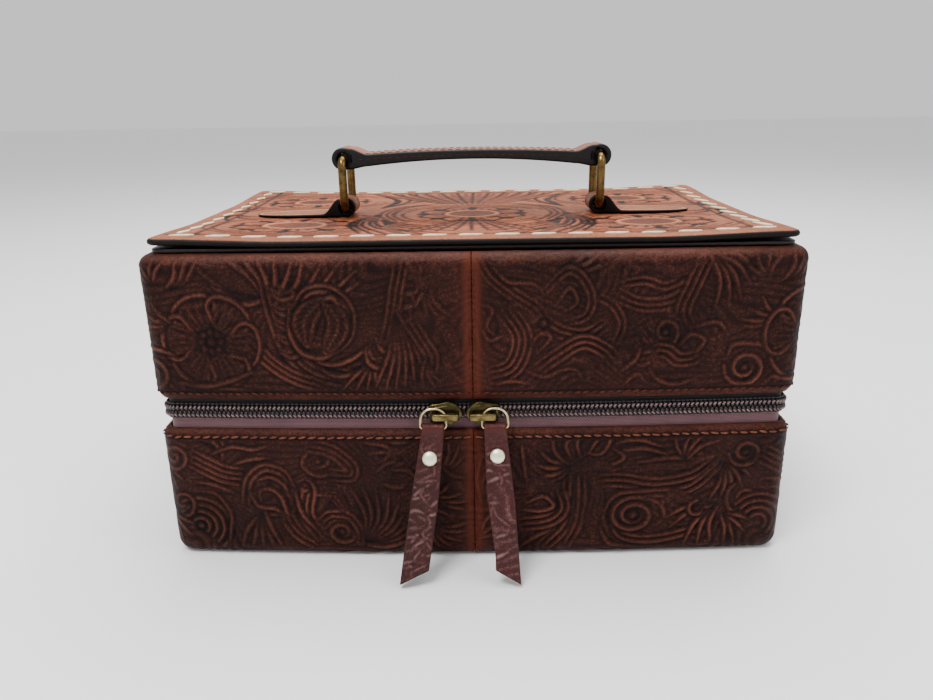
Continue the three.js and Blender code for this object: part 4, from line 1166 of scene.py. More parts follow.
@dataclass
class Skin:
    """One half of the embossed leather round the base or the lid."""

    name: str
    side: Side
    outer: Sequence[Point]
    inner: Sequence[Point]
    relief: Relief
    fade: Callable[[np.ndarray], np.ndarray]
    # Painted light and shade by height along the rims: lighter bands on the rolled rims and shoulder, a darker band
    # beside the stitches.
    rim_light_and_shade: Callable[[np.ndarray], np.ndarray]
    depth: float = 0.6
    fine_step: float = 0.45
    coarse_step: float = 0.75
    fine_length: float = 124.0
    seam_gap: float = 0.12
    bend_flat: float = 0.8
    bend_reach: float = 6.5
    middle_shade: float = 0.42
    # The crest weight paints a highlight on the relief's crests; the groove weight darkens its grooves, partly as
    # dye wash in the hollows and partly as painted shade.
    crest_highlight: float = 0.44
    groove_shade: float = 0.42
    lining_shade: float = 0.3

    def build(self, material: bpy.types.Material) -> bpy.types.Object:
        """Makes the leather as one closed piece."""
        outer = profile_line(self.outer, self.fine_step)
        inner = profile_line(self.inner, 12.0)
        total = PLAN.half_length - self.seam_gap
        u = np.r_[np.arange(self.seam_gap, self.fine_length, self.fine_step),
                  np.arange(self.fine_length, total, self.coarse_step), total]
        point, normal = PLAN.at(u, self.side)
        tangent = np.gradient(outer, axis=0)
        outward_z = np.stack([tangent[:, 1], tangent[:, 0]], 1)
        outward_z /= np.linalg.norm(outward_z, axis=1, keepdims=True)
        rise = np.r_[0, np.cumsum(np.linalg.norm(np.diff(outer, axis=0), axis=1))]
        wall = int(np.argmin(outer[:, 0] * 10
                             + np.abs(outer[:, 1] - (outer[:, 1].min() + outer[:, 1].max()) / 2)))
        v = rise - rise[wall] + outer[wall, 1]
        uu, vv = np.meshgrid(u, v)
        height = self.relief.sample(uu, vv) * self.fade(vv)
        bend = PLAN.straight_x + PLAN.radius * math.pi / 4
        to_bend = np.minimum(np.abs(uu - bend), np.abs(total - uu - bend))
        push = height * self.depth * (1 - self.bend_flat * np.exp(-(to_bend / self.bend_reach) ** 2))
        inset = outer[:, 0][:, None] - push * outward_z[:, 0][:, None]
        z = outer[:, 1][:, None] + push * outward_z[:, 1][:, None]
        xy = point[None] - normal[None] * inset[..., None]
        top = np.concatenate([xy, z[..., None]], -1)
        inside = np.concatenate([point[None] - normal[None] * inner[:, 0][:, None, None],
                                 np.broadcast_to(inner[:, 1][:, None, None], (len(inner), len(u), 1))], -1)
        grid = np.concatenate([top, inside])
        rows, columns = grid.shape[:2]
        faces = grid_faces(rows, columns, wrap_rows=True)
        ends = [list(range(0, rows * columns, columns))[::-1],
                list(range(columns - 1, rows * columns, columns))]
        if self.side is Side.LEFT:
            faces, ends = faces[:, ::-1], [end[::-1] for end in ends]
        # Relief tone: the crest term is a painted highlight on the crests; the groove term darkens the grooves,
        # partly as dye wash and partly as painted shade; the rim term is painted light and shade along the rims.
        crest = np.clip(height, 0, 1) ** 2.4
        shade = np.clip(self.middle_shade + self.crest_highlight * crest
                        + self.groove_shade * np.minimum(height, 0)
                        + self.rim_light_and_shade(vv), 0, 1)
        relief = np.r_[shade.ravel(), np.full(len(inner) * len(u), self.lining_shade)]
        near = np.minimum(uu, total - uu)
        seam = 0.62 * np.exp(-(near / 3.0) ** 4) + 0.12 * np.exp(-(near / 7.0) ** 2)
        seam = np.r_[seam.ravel(), np.zeros(len(inner) * len(u))]
        return mesh_object(self.name, grid.reshape(-1, 3), faces.tolist() + ends, material,
                           {"relief": relief, "seam": seam})


def stitch(name: str, length: float, radius: float, material: bpy.types.Material,
           flat: float = 0.7) -> bpy.types.Object:
    """One stitch: a short thread along X, thinner at its ends."""
    bpy.ops.mesh.primitive_uv_sphere_add(segments=8, ring_count=5, radius=1.0)
    piece = bpy.context.active_object
    piece.name = name
    piece.data.transform(Matrix.Diagonal((length / 2 * MM, radius * MM, radius * flat * MM, 1)))
    piece.data.materials.append(material)
    piece.data.polygons.foreach_set("use_smooth", np.ones(len(piece.data.polygons), bool))
    return piece


def rim_stitches(name: str, side: Side, z: float, inset: float, pitch: float, length: float, slant: float,
                 radius: float, material: bpy.types.Material, seed: int) -> bpy.types.Object:
    """A row of stitches round one half of a rim.

    Args:
        name: the piece's name.
        side: the half.
        z: the row's height.
        inset: how far the row is inside the outline; negative is outside.
        pitch: distance between stitches.
        length: length of each.
        slant: how far each leans, in degrees.
        radius: half the thread's width.
        material: the thread's finish.
        seed: seeds the small differences.

    Returns:
        All the stitches as one piece.
    """
    rng = seeded(seed)
    u = np.arange(pitch * 0.6, PLAN.half_length - pitch * 0.4, pitch)
    point, normal = PLAN.at(u, side)
    places = []
    for (x, y), (nx, ny) in zip(point, normal):
        lean = math.radians(slant + rng.normal(0, 3.5))
        along = Vector((-ny, nx, 0)) * math.cos(lean) + Vector((0, 0, math.sin(lean)))
        places.append(frame_matrix((x - nx * inset, y - ny * inset, z + rng.normal(0, 0.07)), along,
                                   (nx, ny, 0),
                                   1 + rng.normal(0, 0.05)))
    return many(name, stitch(name, length, radius, material), places)


@dataclass(frozen=True)
class SeamSize:
    """Sizes of the stitches beside the joints between the halves."""

    pitch: float = 2.1
    lift: float = 0.12
    offset: float = 0.75
    lean: float = 68.0
    length: float = 1.7
    radius: float = 0.3


SEAM = SeamSize()


class Shell:
    """The embossed leather of base and lid with its stitching."""

    def __init__(self, palette: Palette) -> None:
        """Keeps the finishes."""
        self.palette = palette

    def build(self) -> None:
        """Makes the four skins with their stitches and the centre seams."""
        length = PLAN.half_length
        lid = {Side.LEFT: paint_wall(lid_scrolls(), lid_stems(), [(0, FLOWER_HEART), (2, FLOWER_HEART)], 56,
                                     122,
                                     length, []),
               Side.RIGHT: paint_wall(lid_stems(), lid_scrolls(), [(1, FLOWER_HEART), (3, FLOWER_HEART)],
                                      56, 122,
                                      length, [(24.5, 90.8, 1.6), (66, 87, 1.4), (94.5, 73.5, 1.6)])}
        base = {Side.LEFT: paint_wall(base_acanthus(), base_spirals(), [], -12, 58, length,
                                      [(103, 12.5, 1.7), (56.5, 39.5, 1.3), (49.5, 10.5, 1.4)]),
                Side.RIGHT: paint_wall(base_spirals(), base_acanthus(), [], -12, 58, length,
                                       [(58.5, 16.5, 2.0), (82, 18.5, 1.2), (98, 41, 1.4)])}
        for side in Side:
            self.base_skin(side, base[side])
            self.lid_skin(side, lid[side])
        LOG.info("leather skins")

    def base_skin(self, side: Side, relief: Relief) -> None:
        """The base's leather and stitches on one side."""
        foot = [(5 - 5 * math.sin(a), 5 - 5 * math.cos(a)) for a in np.radians(np.linspace(0, 90, 7))]
        outer = [(6.4, 0), *foot, (0, 47.5), (0.25, 49.2), (0.8, 50.4), (1.6, 51.2), (2.6, 51.5)]
        inner = [(3.2, 51.1), (3.0, 50.2), (1.9, 47.5), (1.8, 6), (3.0, 3.0), (5.4, 1.8), (6.4, 1.8)]
        # The second function paints light by height: a painted highlight on the rolled top rim and a band of painted
        # shade just below the row of stitches.
        skin = Skin(f"base_leather_{side.label}_skin", side, outer, inner, relief,
                    lambda v: smoothstep(-1.5, 1.0, v) * (1 - smoothstep(46.9, 48.0, v)),
                    lambda v: 0.12 * smoothstep(49.3, 50.5, v) - 0.3 * np.exp(-((v - 48.4) / 0.5) ** 2))
        piece = skin.build(self.palette.embossed)
        place(piece, "base", "embossed_leather", f"base_leather_{side.label}")
        row = rim_stitches(f"base_rim_stitches_{side.label}", side, 49.0, -0.12, 3.5, 3.1, -9 * side.value,
                           0.42,
                           self.palette.thread, 11)
        place(row, "base", "embossed_leather")
        self.seam_stitches("base", side, 3.0, 48.0)

    def lid_skin(self, side: Side, relief: Relief) -> None:
        """The lid's leather and stitches on one side."""
        shoulder = [(4 - 4 * math.cos(a), 110.8 + 4 * math.sin(a)) for a in np.radians(np.linspace(0, 90, 9))]
        outer = [(2.6, 63), (1.6, 63.2), (0.8, 64.3), (0.25, 65.4), (0, 67), *shoulder, (6.4, 114.8)]
        inner = [(6.4, 113.0), (5, 113.0), (3.0, 112.0), (1.8, 109), (1.8, 67), (2.4, 65.0), (3.1, 63.6)]
        # The second function paints light by height: painted highlights on the rolled bottom rim and on the
        # shoulder, and a band of painted shade just above the row of stitches.
        skin = Skin(f"lid_leather_{side.label}_skin", side, outer, inner, relief,
                    lambda v: smoothstep(66.6, 67.8, v) * (1 - 0.82 * smoothstep(111.5, 114.5, v)),
                    lambda v: 0.1 * (1 - smoothstep(64.0, 66.0, v)) - 0.26 * np.exp(-((v - 66.4) / 0.5) ** 2)
                    + 0.17 * smoothstep(110.5, 114.5, v))
        piece = skin.build(self.palette.embossed)
        place(piece, "lid", "embossed_leather", f"lid_leather_{side.label}")
        row = rim_stitches(f"lid_rim_stitches_{side.label}", side, 65.7, 0.05, 2.9, 2.3, 12 * side.value, 0.4,
                           self.palette.dark_thread, 12)
        place(row, "lid", "embossed_leather")
        self.seam_stitches("lid", side, 67.0, 111.0)

    def seam_stitches(self, body: str, side: Side, low: float, high: float) -> None:
        """Small stitches beside the joint between the two halves, at the front and at the back."""
        rng = seeded(21)
        places = []
        for z in np.arange(low, high, SEAM.pitch):
            for y, facing in ((-PLAN.half_y - PLAN.front_bow - SEAM.lift, -1), (PLAN.half_y + SEAM.lift, 1)):
                lean = math.radians(SEAM.lean + rng.normal(0, 5))
                places.append(frame_matrix((side.value * SEAM.offset, y, z),
                                           (math.cos(lean), 0, math.sin(lean)),
                                           (0, facing, 0)))
        piece = many(f"{body}_seam_stitches_{side.label}",
                     stitch("seam_stitch", SEAM.length, SEAM.radius, self.palette.dark_thread), places)
        place(piece, body, "embossed_leather")


def place(piece: bpy.types.Object, body: str, slot: str, *nodes: str) -> bpy.types.Object:
    """Puts a piece on its body and hides the CAD nodes it stands for."""
    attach(piece, body)
    if nodes:
        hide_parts(*nodes)
    return piece


# ---------------------------------------------------------------- the tooled top


@dataclass(frozen=True)
class Medallion:
    """A tooled flower: a stippled heart, petals and curved lines round it."""

    centre: Point
    half_x: float
    half_y: float
    tilt: float = 0.0

    def turned(self, x: float, y: float) -> tuple[float, float]:
        """A place in the flower's own frame, put on the panel."""
        a = math.radians(self.tilt)
        return (self.centre[0] + x * math.cos(a) - y * math.sin(a),
                self.centre[1] + x * math.sin(a) + y * math.cos(a))

    def spot(self, scale: float, angle: float) -> tuple[float, float]:
        """A place at an angle on the flower's oval, made larger or smaller."""
        return self.turned(self.half_x * scale * math.cos(angle), self.half_y * scale * math.sin(angle))

    def ring(self, scale: float, start: float = 0, end: float = 360, count: int = 24) -> list[Point]:
        """Points round the flower's oval."""
        return [self.spot(scale, a) for a in np.radians(np.linspace(start, end, count))]

    def strokes(self) -> list[Stroke]:
        """The flower's lines."""
        s = [Stroke(self.ring(1.12), 1.3, GROOVE, 0.9, 0.0),
             Stroke(self.ring(1.0), 1.6, Mark.RIDGE, 0.55, 0.0)]
        s += [Stroke(self.ring(2.75, 28, 332, 40), 1.0, GROOVE, 0.8, 0.1),
              Stroke(self.ring(3.05, 20, 340, 40), 0.9, GROOVE, 0.7, 0.1),
              Stroke(self.ring(2.45, 40, 140, 24), 1.0, GROOVE, 0.7, 0.3),
              Stroke(self.ring(2.45, 220, 320, 24), 1.0, GROOVE, 0.7, 0.3)]
        for k in range(8):
            a = 360 * k / 8 + 22.5
            inner, outer = np.radians((a - 19, a + 19)), math.radians(a)
            tip = self.spot(2.15, outer)
            sides = [self.spot(r, b) for b,
                     r in ((inner[0], 1.15), (inner[0], 1.75), (inner[1], 1.75), (inner[1], 1.15))]
            s.append(Stroke([sides[0], sides[1], tip, sides[2], sides[3]], 1.2, GROOVE, 1.0, 0.0))
            for b in (-7, 7):
                c = math.radians(a + b)
                s.append(Stroke([self.spot(r, c) for r in (1.2, 1.62)], 0.9, GROOVE, 0.85, 0.3))
            d = math.radians(a + 22.5)
            s.append(Stroke([self.spot(r, d) for r in (1.75, 2.2)], 3.2, SUNK, 1.0, 0.9))
        return s


@dataclass(frozen=True)
class PanelSize:
    """Sizes of the tooled top."""

    half_x: float = 111.0
    half_y: float = 74.5
    radius: float = 4.0
    thickness: float = 2.0
    curl: float = 1.5
    edge_rise: float = 0.2
    lace_inset: float = 7.5
    lace_width: float = 1.7
    lace_length: float = 7.4
    lace_pitch: float = 12.5
    tool: float = 1.75
    relief: float = 0.42
    columns: int = 445
    rows: int = 215
    backing_low: float = 115.1
    backing_high: float = 116.4
    border_x: float = 12.5
    border_y: float = 11.5


class TopPanel:
    """The tooled leather on the lid, with its backing and its row of laces."""

    def __init__(self, palette: Palette, size: PanelSize = PanelSize()) -> None:
        """Keeps the finishes and sizes."""
        self.palette, self.size = palette, size
        self.flowers = [Medallion((-68, -38), 11.5, 8.0, -4), Medallion((67, -40), 11.5, 8.5, 5),
                        Medallion((-72, 33), 11.0, 8.5, 6), Medallion((69, 33), 11.0, 9.0, -6),
                        Medallion((0, -12), 10.5, 9.5, 0)]

    def surface(self, x: np.ndarray, y: np.ndarray) -> np.ndarray:
        """Height of the panel's face: its corners lift, and the middles of its front and back edge rise a little."""
        a, b = np.abs(x) / self.size.half_x, np.abs(y) / self.size.half_y
        lift = self.size.curl * smoothstep(0.55, 1.0, a) * smoothstep(0.3, 1.0, b)
        return Z.panel_top + lift + self.size.edge_rise * (1 - a ** 2) * smoothstep(0.5, 1.0, b)

    def rounded(self, x: np.ndarray, y: np.ndarray) -> tuple[np.ndarray, np.ndarray]:
        """Pulls a rectangular grid's corners onto their radius."""
        cx, cy = self.size.half_x - self.size.radius, self.size.half_y - self.size.radius
        a = np.maximum(np.abs(x) - cx, 0) / self.size.radius
        b = np.maximum(np.abs(y) - cy, 0) / self.size.radius
        length = np.hypot(a, b)
        pull = np.where((a > 0) & (b > 0), np.maximum(a, b) / np.maximum(length, 1e-9), 1.0)
        px = np.where(a > 0, np.sign(x) * (cx + a * pull * self.size.radius), x)
        py = np.where(b > 0, np.sign(y) * (cy + b * pull * self.size.radius), y)
        return px, py

    def pattern(self) -> Relief:
        """Paints the tooling."""
        size = self.size
        relief = Relief(2 * size.half_x, -size.half_y, size.half_y, 0.4, -size.half_x)

        def cut(stroke: Stroke) -> None:
            """Paints a stroke as wide as the tool that cuts it."""
            relief.paint(Stroke(stroke.points, stroke.width * size.tool, stroke.mark, stroke.height,
                                stroke.taper))

        for sign in (-1, 1):
            for root, tips in (((38, -8), ((16, -64), (22, -64), (29, -64), (35, -62), (40, -60))),
                               ((36, -26), ((2, -44), (4, -50), (7, -56), (10, -62))),
                               ((40, 8), ((36, 60), (29, 62), (44, 56), (50, 62))),
                               ((100, -4), ((84, -14), (88, -20), (98, -24), (103, -20))),
                               ((103, 4), ((92, 12), (97, 16), (102, 18)))):
                for stroke in fan((sign * root[0], root[1]), [(sign * x, y) for x, y in tips], 0.16 * sign,
                                  1.3,
                                  GROOVE):
                    cut(stroke)
            for points in (((24, -30), (31, -44), (26, -62)), ((44, -30), (40, -20), (46, -12)),
                           ((30, 22), (24, 34), (30, 46)), ((92, 62), (98, 52), (103, 44))):
                cut(Stroke([(sign * x, y) for x, y in points], 3.4, SUNK, 0.5, 0.85))
            for offset in (0.0, 2.6, 5.4):
                cut(Stroke([(sign * (27 + offset), -30), (sign * (33 + offset), -12),
                            (sign * (29 + offset), 8), (sign * (16 + offset), 19)], 1.1, GROOVE, 0.85, 0.2))
        for k in range(-6, 7):
            cut(Stroke([(k * 2.2, 20), (k * 5.4, 42), (k * 8.2, 63)], 1.5, GROOVE, 0.85, 0.4))
            if k < 6:
                cut(Stroke([((k + 0.5) * 2.4, 24), ((k + 0.5) * 6.0, 48), ((k + 0.5) * 7.2, 60)], 2.2,
                           SUNK, 0.45, 0.7))
        for k in range(-4, 5):
            cut(Stroke([(k * 1.2, -26), (k * 3.4, -40), (k * 6.4, -56)], 1.2, GROOVE, 0.8, 0.4))
        for flower_design in self.flowers:
            for stroke in flower_design.strokes():
                cut(stroke)
        self.stipple(relief)
        border = list(rounded_rectangle(size.half_x - size.border_x, size.half_y - size.border_y, 5))
        cut(Stroke(border + border[:1], 1.2, GROOVE, 0.8, 0.0))
        relief.soften(0.3)
        return relief

    def stipple(self, relief: Relief) -> None:
        """Rows of small dots in the flowers' hearts."""
        u, v = np.meshgrid(relief.u, relief.v)
        for f in self.flowers:
            a = math.radians(f.tilt)
            x = (u - f.centre[0]) * math.cos(a) + (v - f.centre[1]) * math.sin(a)
            y = -(u - f.centre[0]) * math.sin(a) + (v - f.centre[1]) * math.cos(a)
            inside = 1 - smoothstep(0.82, 0.95, np.hypot(x / f.half_x, y / f.half_y))
            dots = np.sin(2 * math.pi * x / 1.5) * np.sin(2 * math.pi * y / 1.5)
            relief.height = relief.height * (1 - inside) + inside * (-0.5 + 0.6 * dots)

    def build(self) -> None:
        """Makes the panel, its backing and the laces."""
        size = self.size
        relief = self.pattern()
        x = np.linspace(-size.half_x, size.half_x, size.columns)
        y = np.linspace(-size.half_y, size.half_y, size.rows)
        gx, gy = np.meshgrid(x, y)
        height = relief.sample(gx, gy)
        px, py = self.rounded(gx, gy)
        edge = np.minimum(size.half_x - np.abs(gx), size.half_y - np.abs(gy))
        round_over = 0.25 * (1 - smoothstep(0.0, 0.9, edge)) ** 2
        z = self.surface(px, py) + height * size.relief - round_over
        top = np.stack([px, py, z], -1).reshape(-1, 3)
        rows, columns = gx.shape
        index = np.arange(rows * columns).reshape(rows, columns)
        rim = np.r_[index[0, :-1], index[:-1, -1], index[-1, :0:-1], index[:0:-1, 0]]
        bands, faces = [], grid_faces(rows, columns).tolist()
        count, start = len(rim), len(top)
        previous = rim
        for drop, swell in ((0.5, 0.35), (1.0, 0.42), (1.6, 0.3), (size.thickness, -0.1)):
            ring = top[rim].copy()
            direction = ring[:, :2] / np.array([size.half_x, size.half_y])
            direction = np.sign(direction) * (np.abs(direction) > 0.93)
            ring[:, :2] += direction * swell
            ring[:, 2] -= drop
            current = start + np.arange(count)
            faces += [[int(a), int(c), int(d), int(b)] for a, b, c, d in
                      zip(previous, np.roll(previous, -1), current, np.roll(current, -1))]
            bands.append(ring)
            previous, start = current, start + count
        faces.append([int(k) for k in previous[::-1]])
        vertices = np.vstack([top, *bands])
        rng = seeded(5)
        shade = np.clip(0.52 + 0.5 * height.ravel(), 0, 1)
        burnish = (1 - smoothstep(0.0, 0.55, edge)).ravel()
        side_count = len(vertices) - len(top)
        piece = mesh_object("top_panel_tooled", vertices, faces, self.palette.tooled,
                            {"relief": np.r_[shade, rng.uniform(0.1, 0.4, side_count)],
                             "seam": np.r_[burnish, np.full(side_count, 1.0)]})
        place(outward(piece), "lid", "tooled_leather", "top_panel")
        self.backing()
        self.laces()
        LOG.info("tooled top")

    def backing(self) -> None:
        """The second layer of leather under the panel."""
        size = self.size
        outline = rounded_rectangle(size.half_x - 0.5, size.half_y - 0.6, size.radius)
        piece = prism("top_panel_backing_layer", outline, size.backing_low, size.backing_high,
                      self.palette.edge, 0.3)
        place(piece, "lid", "tooled_leather", "top_panel_backing")

    def laces(self) -> None:
        """Cream laces that pass in and out of the panel round its edge."""
        size = self.size
        places = []
        for axis, half, other in ((0, size.half_x, size.half_y), (1, size.half_y, size.half_x)):
            span = half - size.lace_inset - 2.5
            count = round(2 * span / size.lace_pitch)
            for k in range(count + (1 if axis == 0 else 0)):
                t = -span + (2 * k + (0 if axis == 0 else 1)) * span / count
                for sign in (-1, 1):
                    across = sign * (other - size.lace_inset)
                    x, y = (t, across) if axis == 0 else (across, t)
                    fx, fy = self.rounded(np.array(float(x)), np.array(float(y)))
                    z = float(self.surface(fx, fy)) + 0.12
                    along = Vector((1, 0, 0)) if axis == 0 else Vector((0, 1, 0))
                    spin = Matrix.Rotation(math.radians(-4 if axis == 0 else 22 * sign), 3, "Z")
                    places.append(frame_matrix((float(fx), float(fy), z), spin @ along, (0, 0, 1)))
        half, wide, lean = size.lace_length / 2, size.lace_width / 2, 1.5
        outline = [(-half - lean / 2, -wide), (half - lean, -wide), (half + lean / 2, wide),
                   (-half + lean, wide)]
        template = prism("lace", outline, -0.4, 0.42, self.palette.lace, 0.28, 2)
        place(many("buckstitch_laces", template, places), "lid", "cream_lace", "buckstitch_lace")


# ---------------------------------------------------------------- lofts


def lofted(name: str, rings: np.ndarray, material: bpy.types.Material,
           attributes: dict[str, np.ndarray] | None = None) -> bpy.types.Object:
    """A closed piece from cross-sections, each a ring of points, with both ends capped.

    Args:
        name: the piece's name.
        rings: rows by points by 3 positions in millimetres.
        material: the piece's finish.
        attributes: values with one number for each point of each ring.

    Returns:
        The piece, faces outwards.
    """
    rows, count = rings.shape[:2]
    faces = grid_faces(rows, count, wrap_columns=True).tolist()
    faces += [list(range(count)), list(range((rows - 1) * count, rows * count))[::-1]]
    flat = {key: np.asarray(value).reshape(-1) for key, value in (attributes or {}).items()}
    piece = mesh_object(name, rings.reshape(-1, 3), faces, material, flat)
    activate(piece)
    bpy.ops.object.mode_set(mode="EDIT")
    bpy.ops.mesh.select_all(action="SELECT")
    bpy.ops.mesh.normals_make_consistent(inside=False)
    bpy.ops.object.mode_set(mode="OBJECT")
    return piece


def section_ring(half_width: float, low: float, high: float, across: int = 16,
                 corner: float = 0.5) -> np.ndarray:
    """A strip's cross-section as (width, height) points, round at its corners: the top first, then the bottom."""
    w, r = half_width, min(corner, (high - low) / 2 - 0.02, half_width * 0.45)
    top = [(y, high) for y in np.linspace(-w + r, w - r, across)]
    bottom = [(y, low) for y in np.linspace(w - r, -w + r, across)]
    right = [(w - r + r * math.sin(a), high - r + r * math.cos(a)) for a in np.radians((30, 60, 90))]
    right += [(w - r + r * math.sin(a), low + r - r * math.cos(a)) for a in np.radians((90, 60, 30))]
    left = [(-y, z) for y, z in right[::-1]]
    return np.array(top + right + bottom + left)


def lathe(name: str, profile: Sequence[Point], material: bpy.types.Material, closed: bool = False,
          segments: int = 40) -> bpy.types.Object:
    """Turns a profile of (radius, height) round Z.

    Args:
        name: the piece's name.
        profile: the profile's points; a radius of 0 closes a pole.
        material: the piece's finish.
        closed: joins the profile's end to its start, as for a tube.
        segments: steps round the axis.

    Returns:
        The turned piece, faces outwards.
    """
    a = np.linspace(0, 2 * math.pi, segments, endpoint=False)
    rows = np.array([[(r * math.cos(t), r * math.sin(t), z) for t in a] for r, z in profile])
    faces = grid_faces(len(profile), segments, wrap_rows=closed, wrap_columns=True)
    piece = mesh_object(name, rows.reshape(-1, 3), faces, material)
    return outward(piece)


def paint_value(piece: bpy.types.Object, name: str, values: np.ndarray | float) -> bpy.types.Object:
    """Gives a piece's vertices a named value, one for all or one each."""
    mesh = piece.data
    layer = mesh.attributes.get(name) or mesh.attributes.new(name, "FLOAT", "POINT")
    values = np.broadcast_to(np.asarray(values, np.float32), (len(mesh.vertices),))
    layer.data.foreach_set("value", np.ascontiguousarray(values))
    return piece


UPRIGHT = Matrix.Rotation(math.radians(90), 4, "X")


# ---------------------------------------------------------------- zip


@dataclass(frozen=True)
class ZipSize:
    """Sizes of the zip."""

    tape_inset: float = 3.3
    tape: float = 0.6
    depth: float = 13.0
    tooth_pitch: float = 1.62
    tooth_length: float = 2.5
    coil_inset: float = 2.25
    thread_pitch: float = 1.62
    tape_gap: float = 0.35
    tape_swell: float = 0.14
    tooth_z: float = 1.12
    thread_out: float = 0.62
    thread_z: float = 1.55
    cord_in: float = 0.35
    cord_z: float = 2.65


class Zip:
    """Tapes, teeth and threads of the zip, and the leather hinge at the back."""

    def __init__(self, palette: Palette, size: ZipSize = ZipSize()) -> None:
        """Keeps the finishes and sizes."""
        self.palette, self.size = palette, size
        self.end = PLAN.half_length - PLAN.straight_x - PLAN.radius * math.pi / 4

    def strip(self, name: str, u: np.ndarray, heights: Sequence[float], material: bpy.types.Material,
              inset: float, thickness: float) -> bpy.types.Object:
        """A thin strip along the outline; u runs from the left half (negative) to the right half."""
        rings = []
        for value in u:
            _, point, normal = on_outline(value)
            ring = [(*(point - normal * (inset + swell)), z) for z, swell in heights]
            ring += [(*(point - normal * (inset + thickness + swell)), z) for z, swell in reversed(heights)]
            rings.append(ring)
        piece = lofted(name, np.array(rings), material)
        return paint_value(piece, "relief", 0.36)

    def build(self) -> None:
        """Makes both halves of the zip and the hinge."""
        size, z = self.size, Z.zip_line
        u = np.linspace(-self.end, self.end, 420)
        for body, way, label in (("base", -1, "lower"), ("lid", 1, "upper")):
            heights = [(z + way * h, size.tape_swell * math.sin(h / size.depth * math.pi))
                       for h in np.linspace(size.tape_gap, size.depth, 9)]
            # The lid's tape takes the near-black cloth: painted shade under the lid's rim.
            cloth = self.palette.tape_in_painted_shade if way > 0 else self.palette.tape
            tape = self.strip(f"zip_tape_{label}_woven", u, heights, cloth, size.tape_inset, size.tape)
            place(tape, body, "zip_tape", f"zip_tape_{label}")
            self.teeth(body, way, label)
        self.hinge()
        LOG.info("zip and hinge")

    def teeth(self, body: str, way: int, label: str) -> None:
        """One row of teeth with the threads that sew it to its tape."""
        size = self.size
        count = int(2 * self.end / size.tooth_pitch)
        teeth, threads, edges = [], [], []
        for k in range(count):
            value = -self.end + (k + (0.5 if way > 0 else 0.0)) * size.tooth_pitch
            side, point, normal = on_outline(value)
            facing = (*normal, 0.0)
            along = Vector((-normal[1], normal[0], 0))
            if along.x < 0 and side is Side.LEFT:
                along = -along
            centre = (*(point - normal * size.coil_inset), Z.zip_line + way * size.tooth_z)
            teeth.append(frame_matrix(centre, along, facing))
            front = (*(point - normal * (size.coil_inset - size.thread_out)),
                     Z.zip_line + way * size.thread_z)
            threads.append(frame_matrix(front, along + Vector((0, 0, 0.75 * way)), facing))
            low = (*(point - normal * (size.coil_inset + size.cord_in)), Z.zip_line + way * size.cord_z)
            edges.append(frame_matrix(low, along, facing))
        bpy.ops.mesh.primitive_uv_sphere_add(segments=8, ring_count=6, radius=1.0)
        tooth = bpy.context.active_object
        tooth.data.transform(Matrix.Diagonal((0.66 * MM, size.tooth_length / 2 * MM, 0.72 * MM, 1)))
        tooth.data.materials.append(self.palette.coil)
        place(many(f"zip_coil_{label}_teeth", tooth, teeth), body, "zip_coil", f"zip_coil_{label}")
        thread = stitch("thread", size.thread_pitch * 1.02, 0.3, self.palette.coil_thread, 0.8)
        place(many(f"zip_coil_{label}_threads", thread, threads), body, "zip_coil")
        cord = stitch("cord", size.thread_pitch * 1.1, 0.38, self.palette.coil, 0.9)
        place(many(f"zip_coil_{label}_edge", cord, edges), body, "zip_coil")

    def hinge(self) -> None:
        """Leather across the back, between base and lid."""
        size = self.size
        u = np.linspace(self.end, PLAN.half_length, 60)
        heights = [(Z.zip_line + h, 0.12 * math.cos(h * 1.3))
                   for h in np.linspace(-size.depth, size.depth, 33)]
        halves = [self.strip("hinge_half", sign * u, heights, self.palette.embossed, size.tape_inset, 0.8)
                  for sign in (-1, 1)]
        piece = outward(joined("hinge_leather_strip", halves))
        paint_value(piece, "relief", 0.4)
        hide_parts("hinge_leather_base", "hinge_leather_lid")
        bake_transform(piece)


# ---------------------------------------------------------------- sliders and pulls


@dataclass(frozen=True)
class TabShape:
    """Edges of a leather pull below its fold, in its own plane, and the place of its rivet."""

    left: Sequence[Point]
    right: Sequence[Point]
    rivet: Point
    seed: int


TABS = {
    Side.LEFT: TabShape([(-3.9, 0), (-8.2, -25.4), (-12.4, -54.9)], [(3.9, 0), (1.5, -25.4), (-2.1, -50)],
                        (-1.3, -10.4), 31),
    Side.RIGHT: TabShape([(-3.9, 0), (-3.2, -25.5), (-0.3, -50)], [(3.9, 0), (6.6, -25.5), (8.6, -55.3)],
                         (0.7, -9.7), 37),
}


@dataclass(frozen=True)
class PullSize:
    """Sizes of the sliders and what hangs from them."""

    nose: float = -3.2
    half_gap: float = 0.15
    length: float = 12.0
    half_height: float = 4.4
    tail_half: float = 3.4
    plate: float = 1.5
    plate_y: float = -82.2
    bridge_y: float = -85.9
    bridge_length: float = 9.6
    tail_margin: float = 0.8
    ring_offset: float = 10.7
    ring_y: float = -85.2
    ring_z: float = 54.0
    span: float = 9.0
    wire: float = 0.48
    tilt: float = 13.9
    rise: float = 6.85
    slope: float = 16.8
    tab_wall: float = 1.1
    eye: float = 1.95
    rear_near: float = 6.4
    rear_far: float = 7.4
    left_run: float = 54.9
    fold_half: float = 3.9


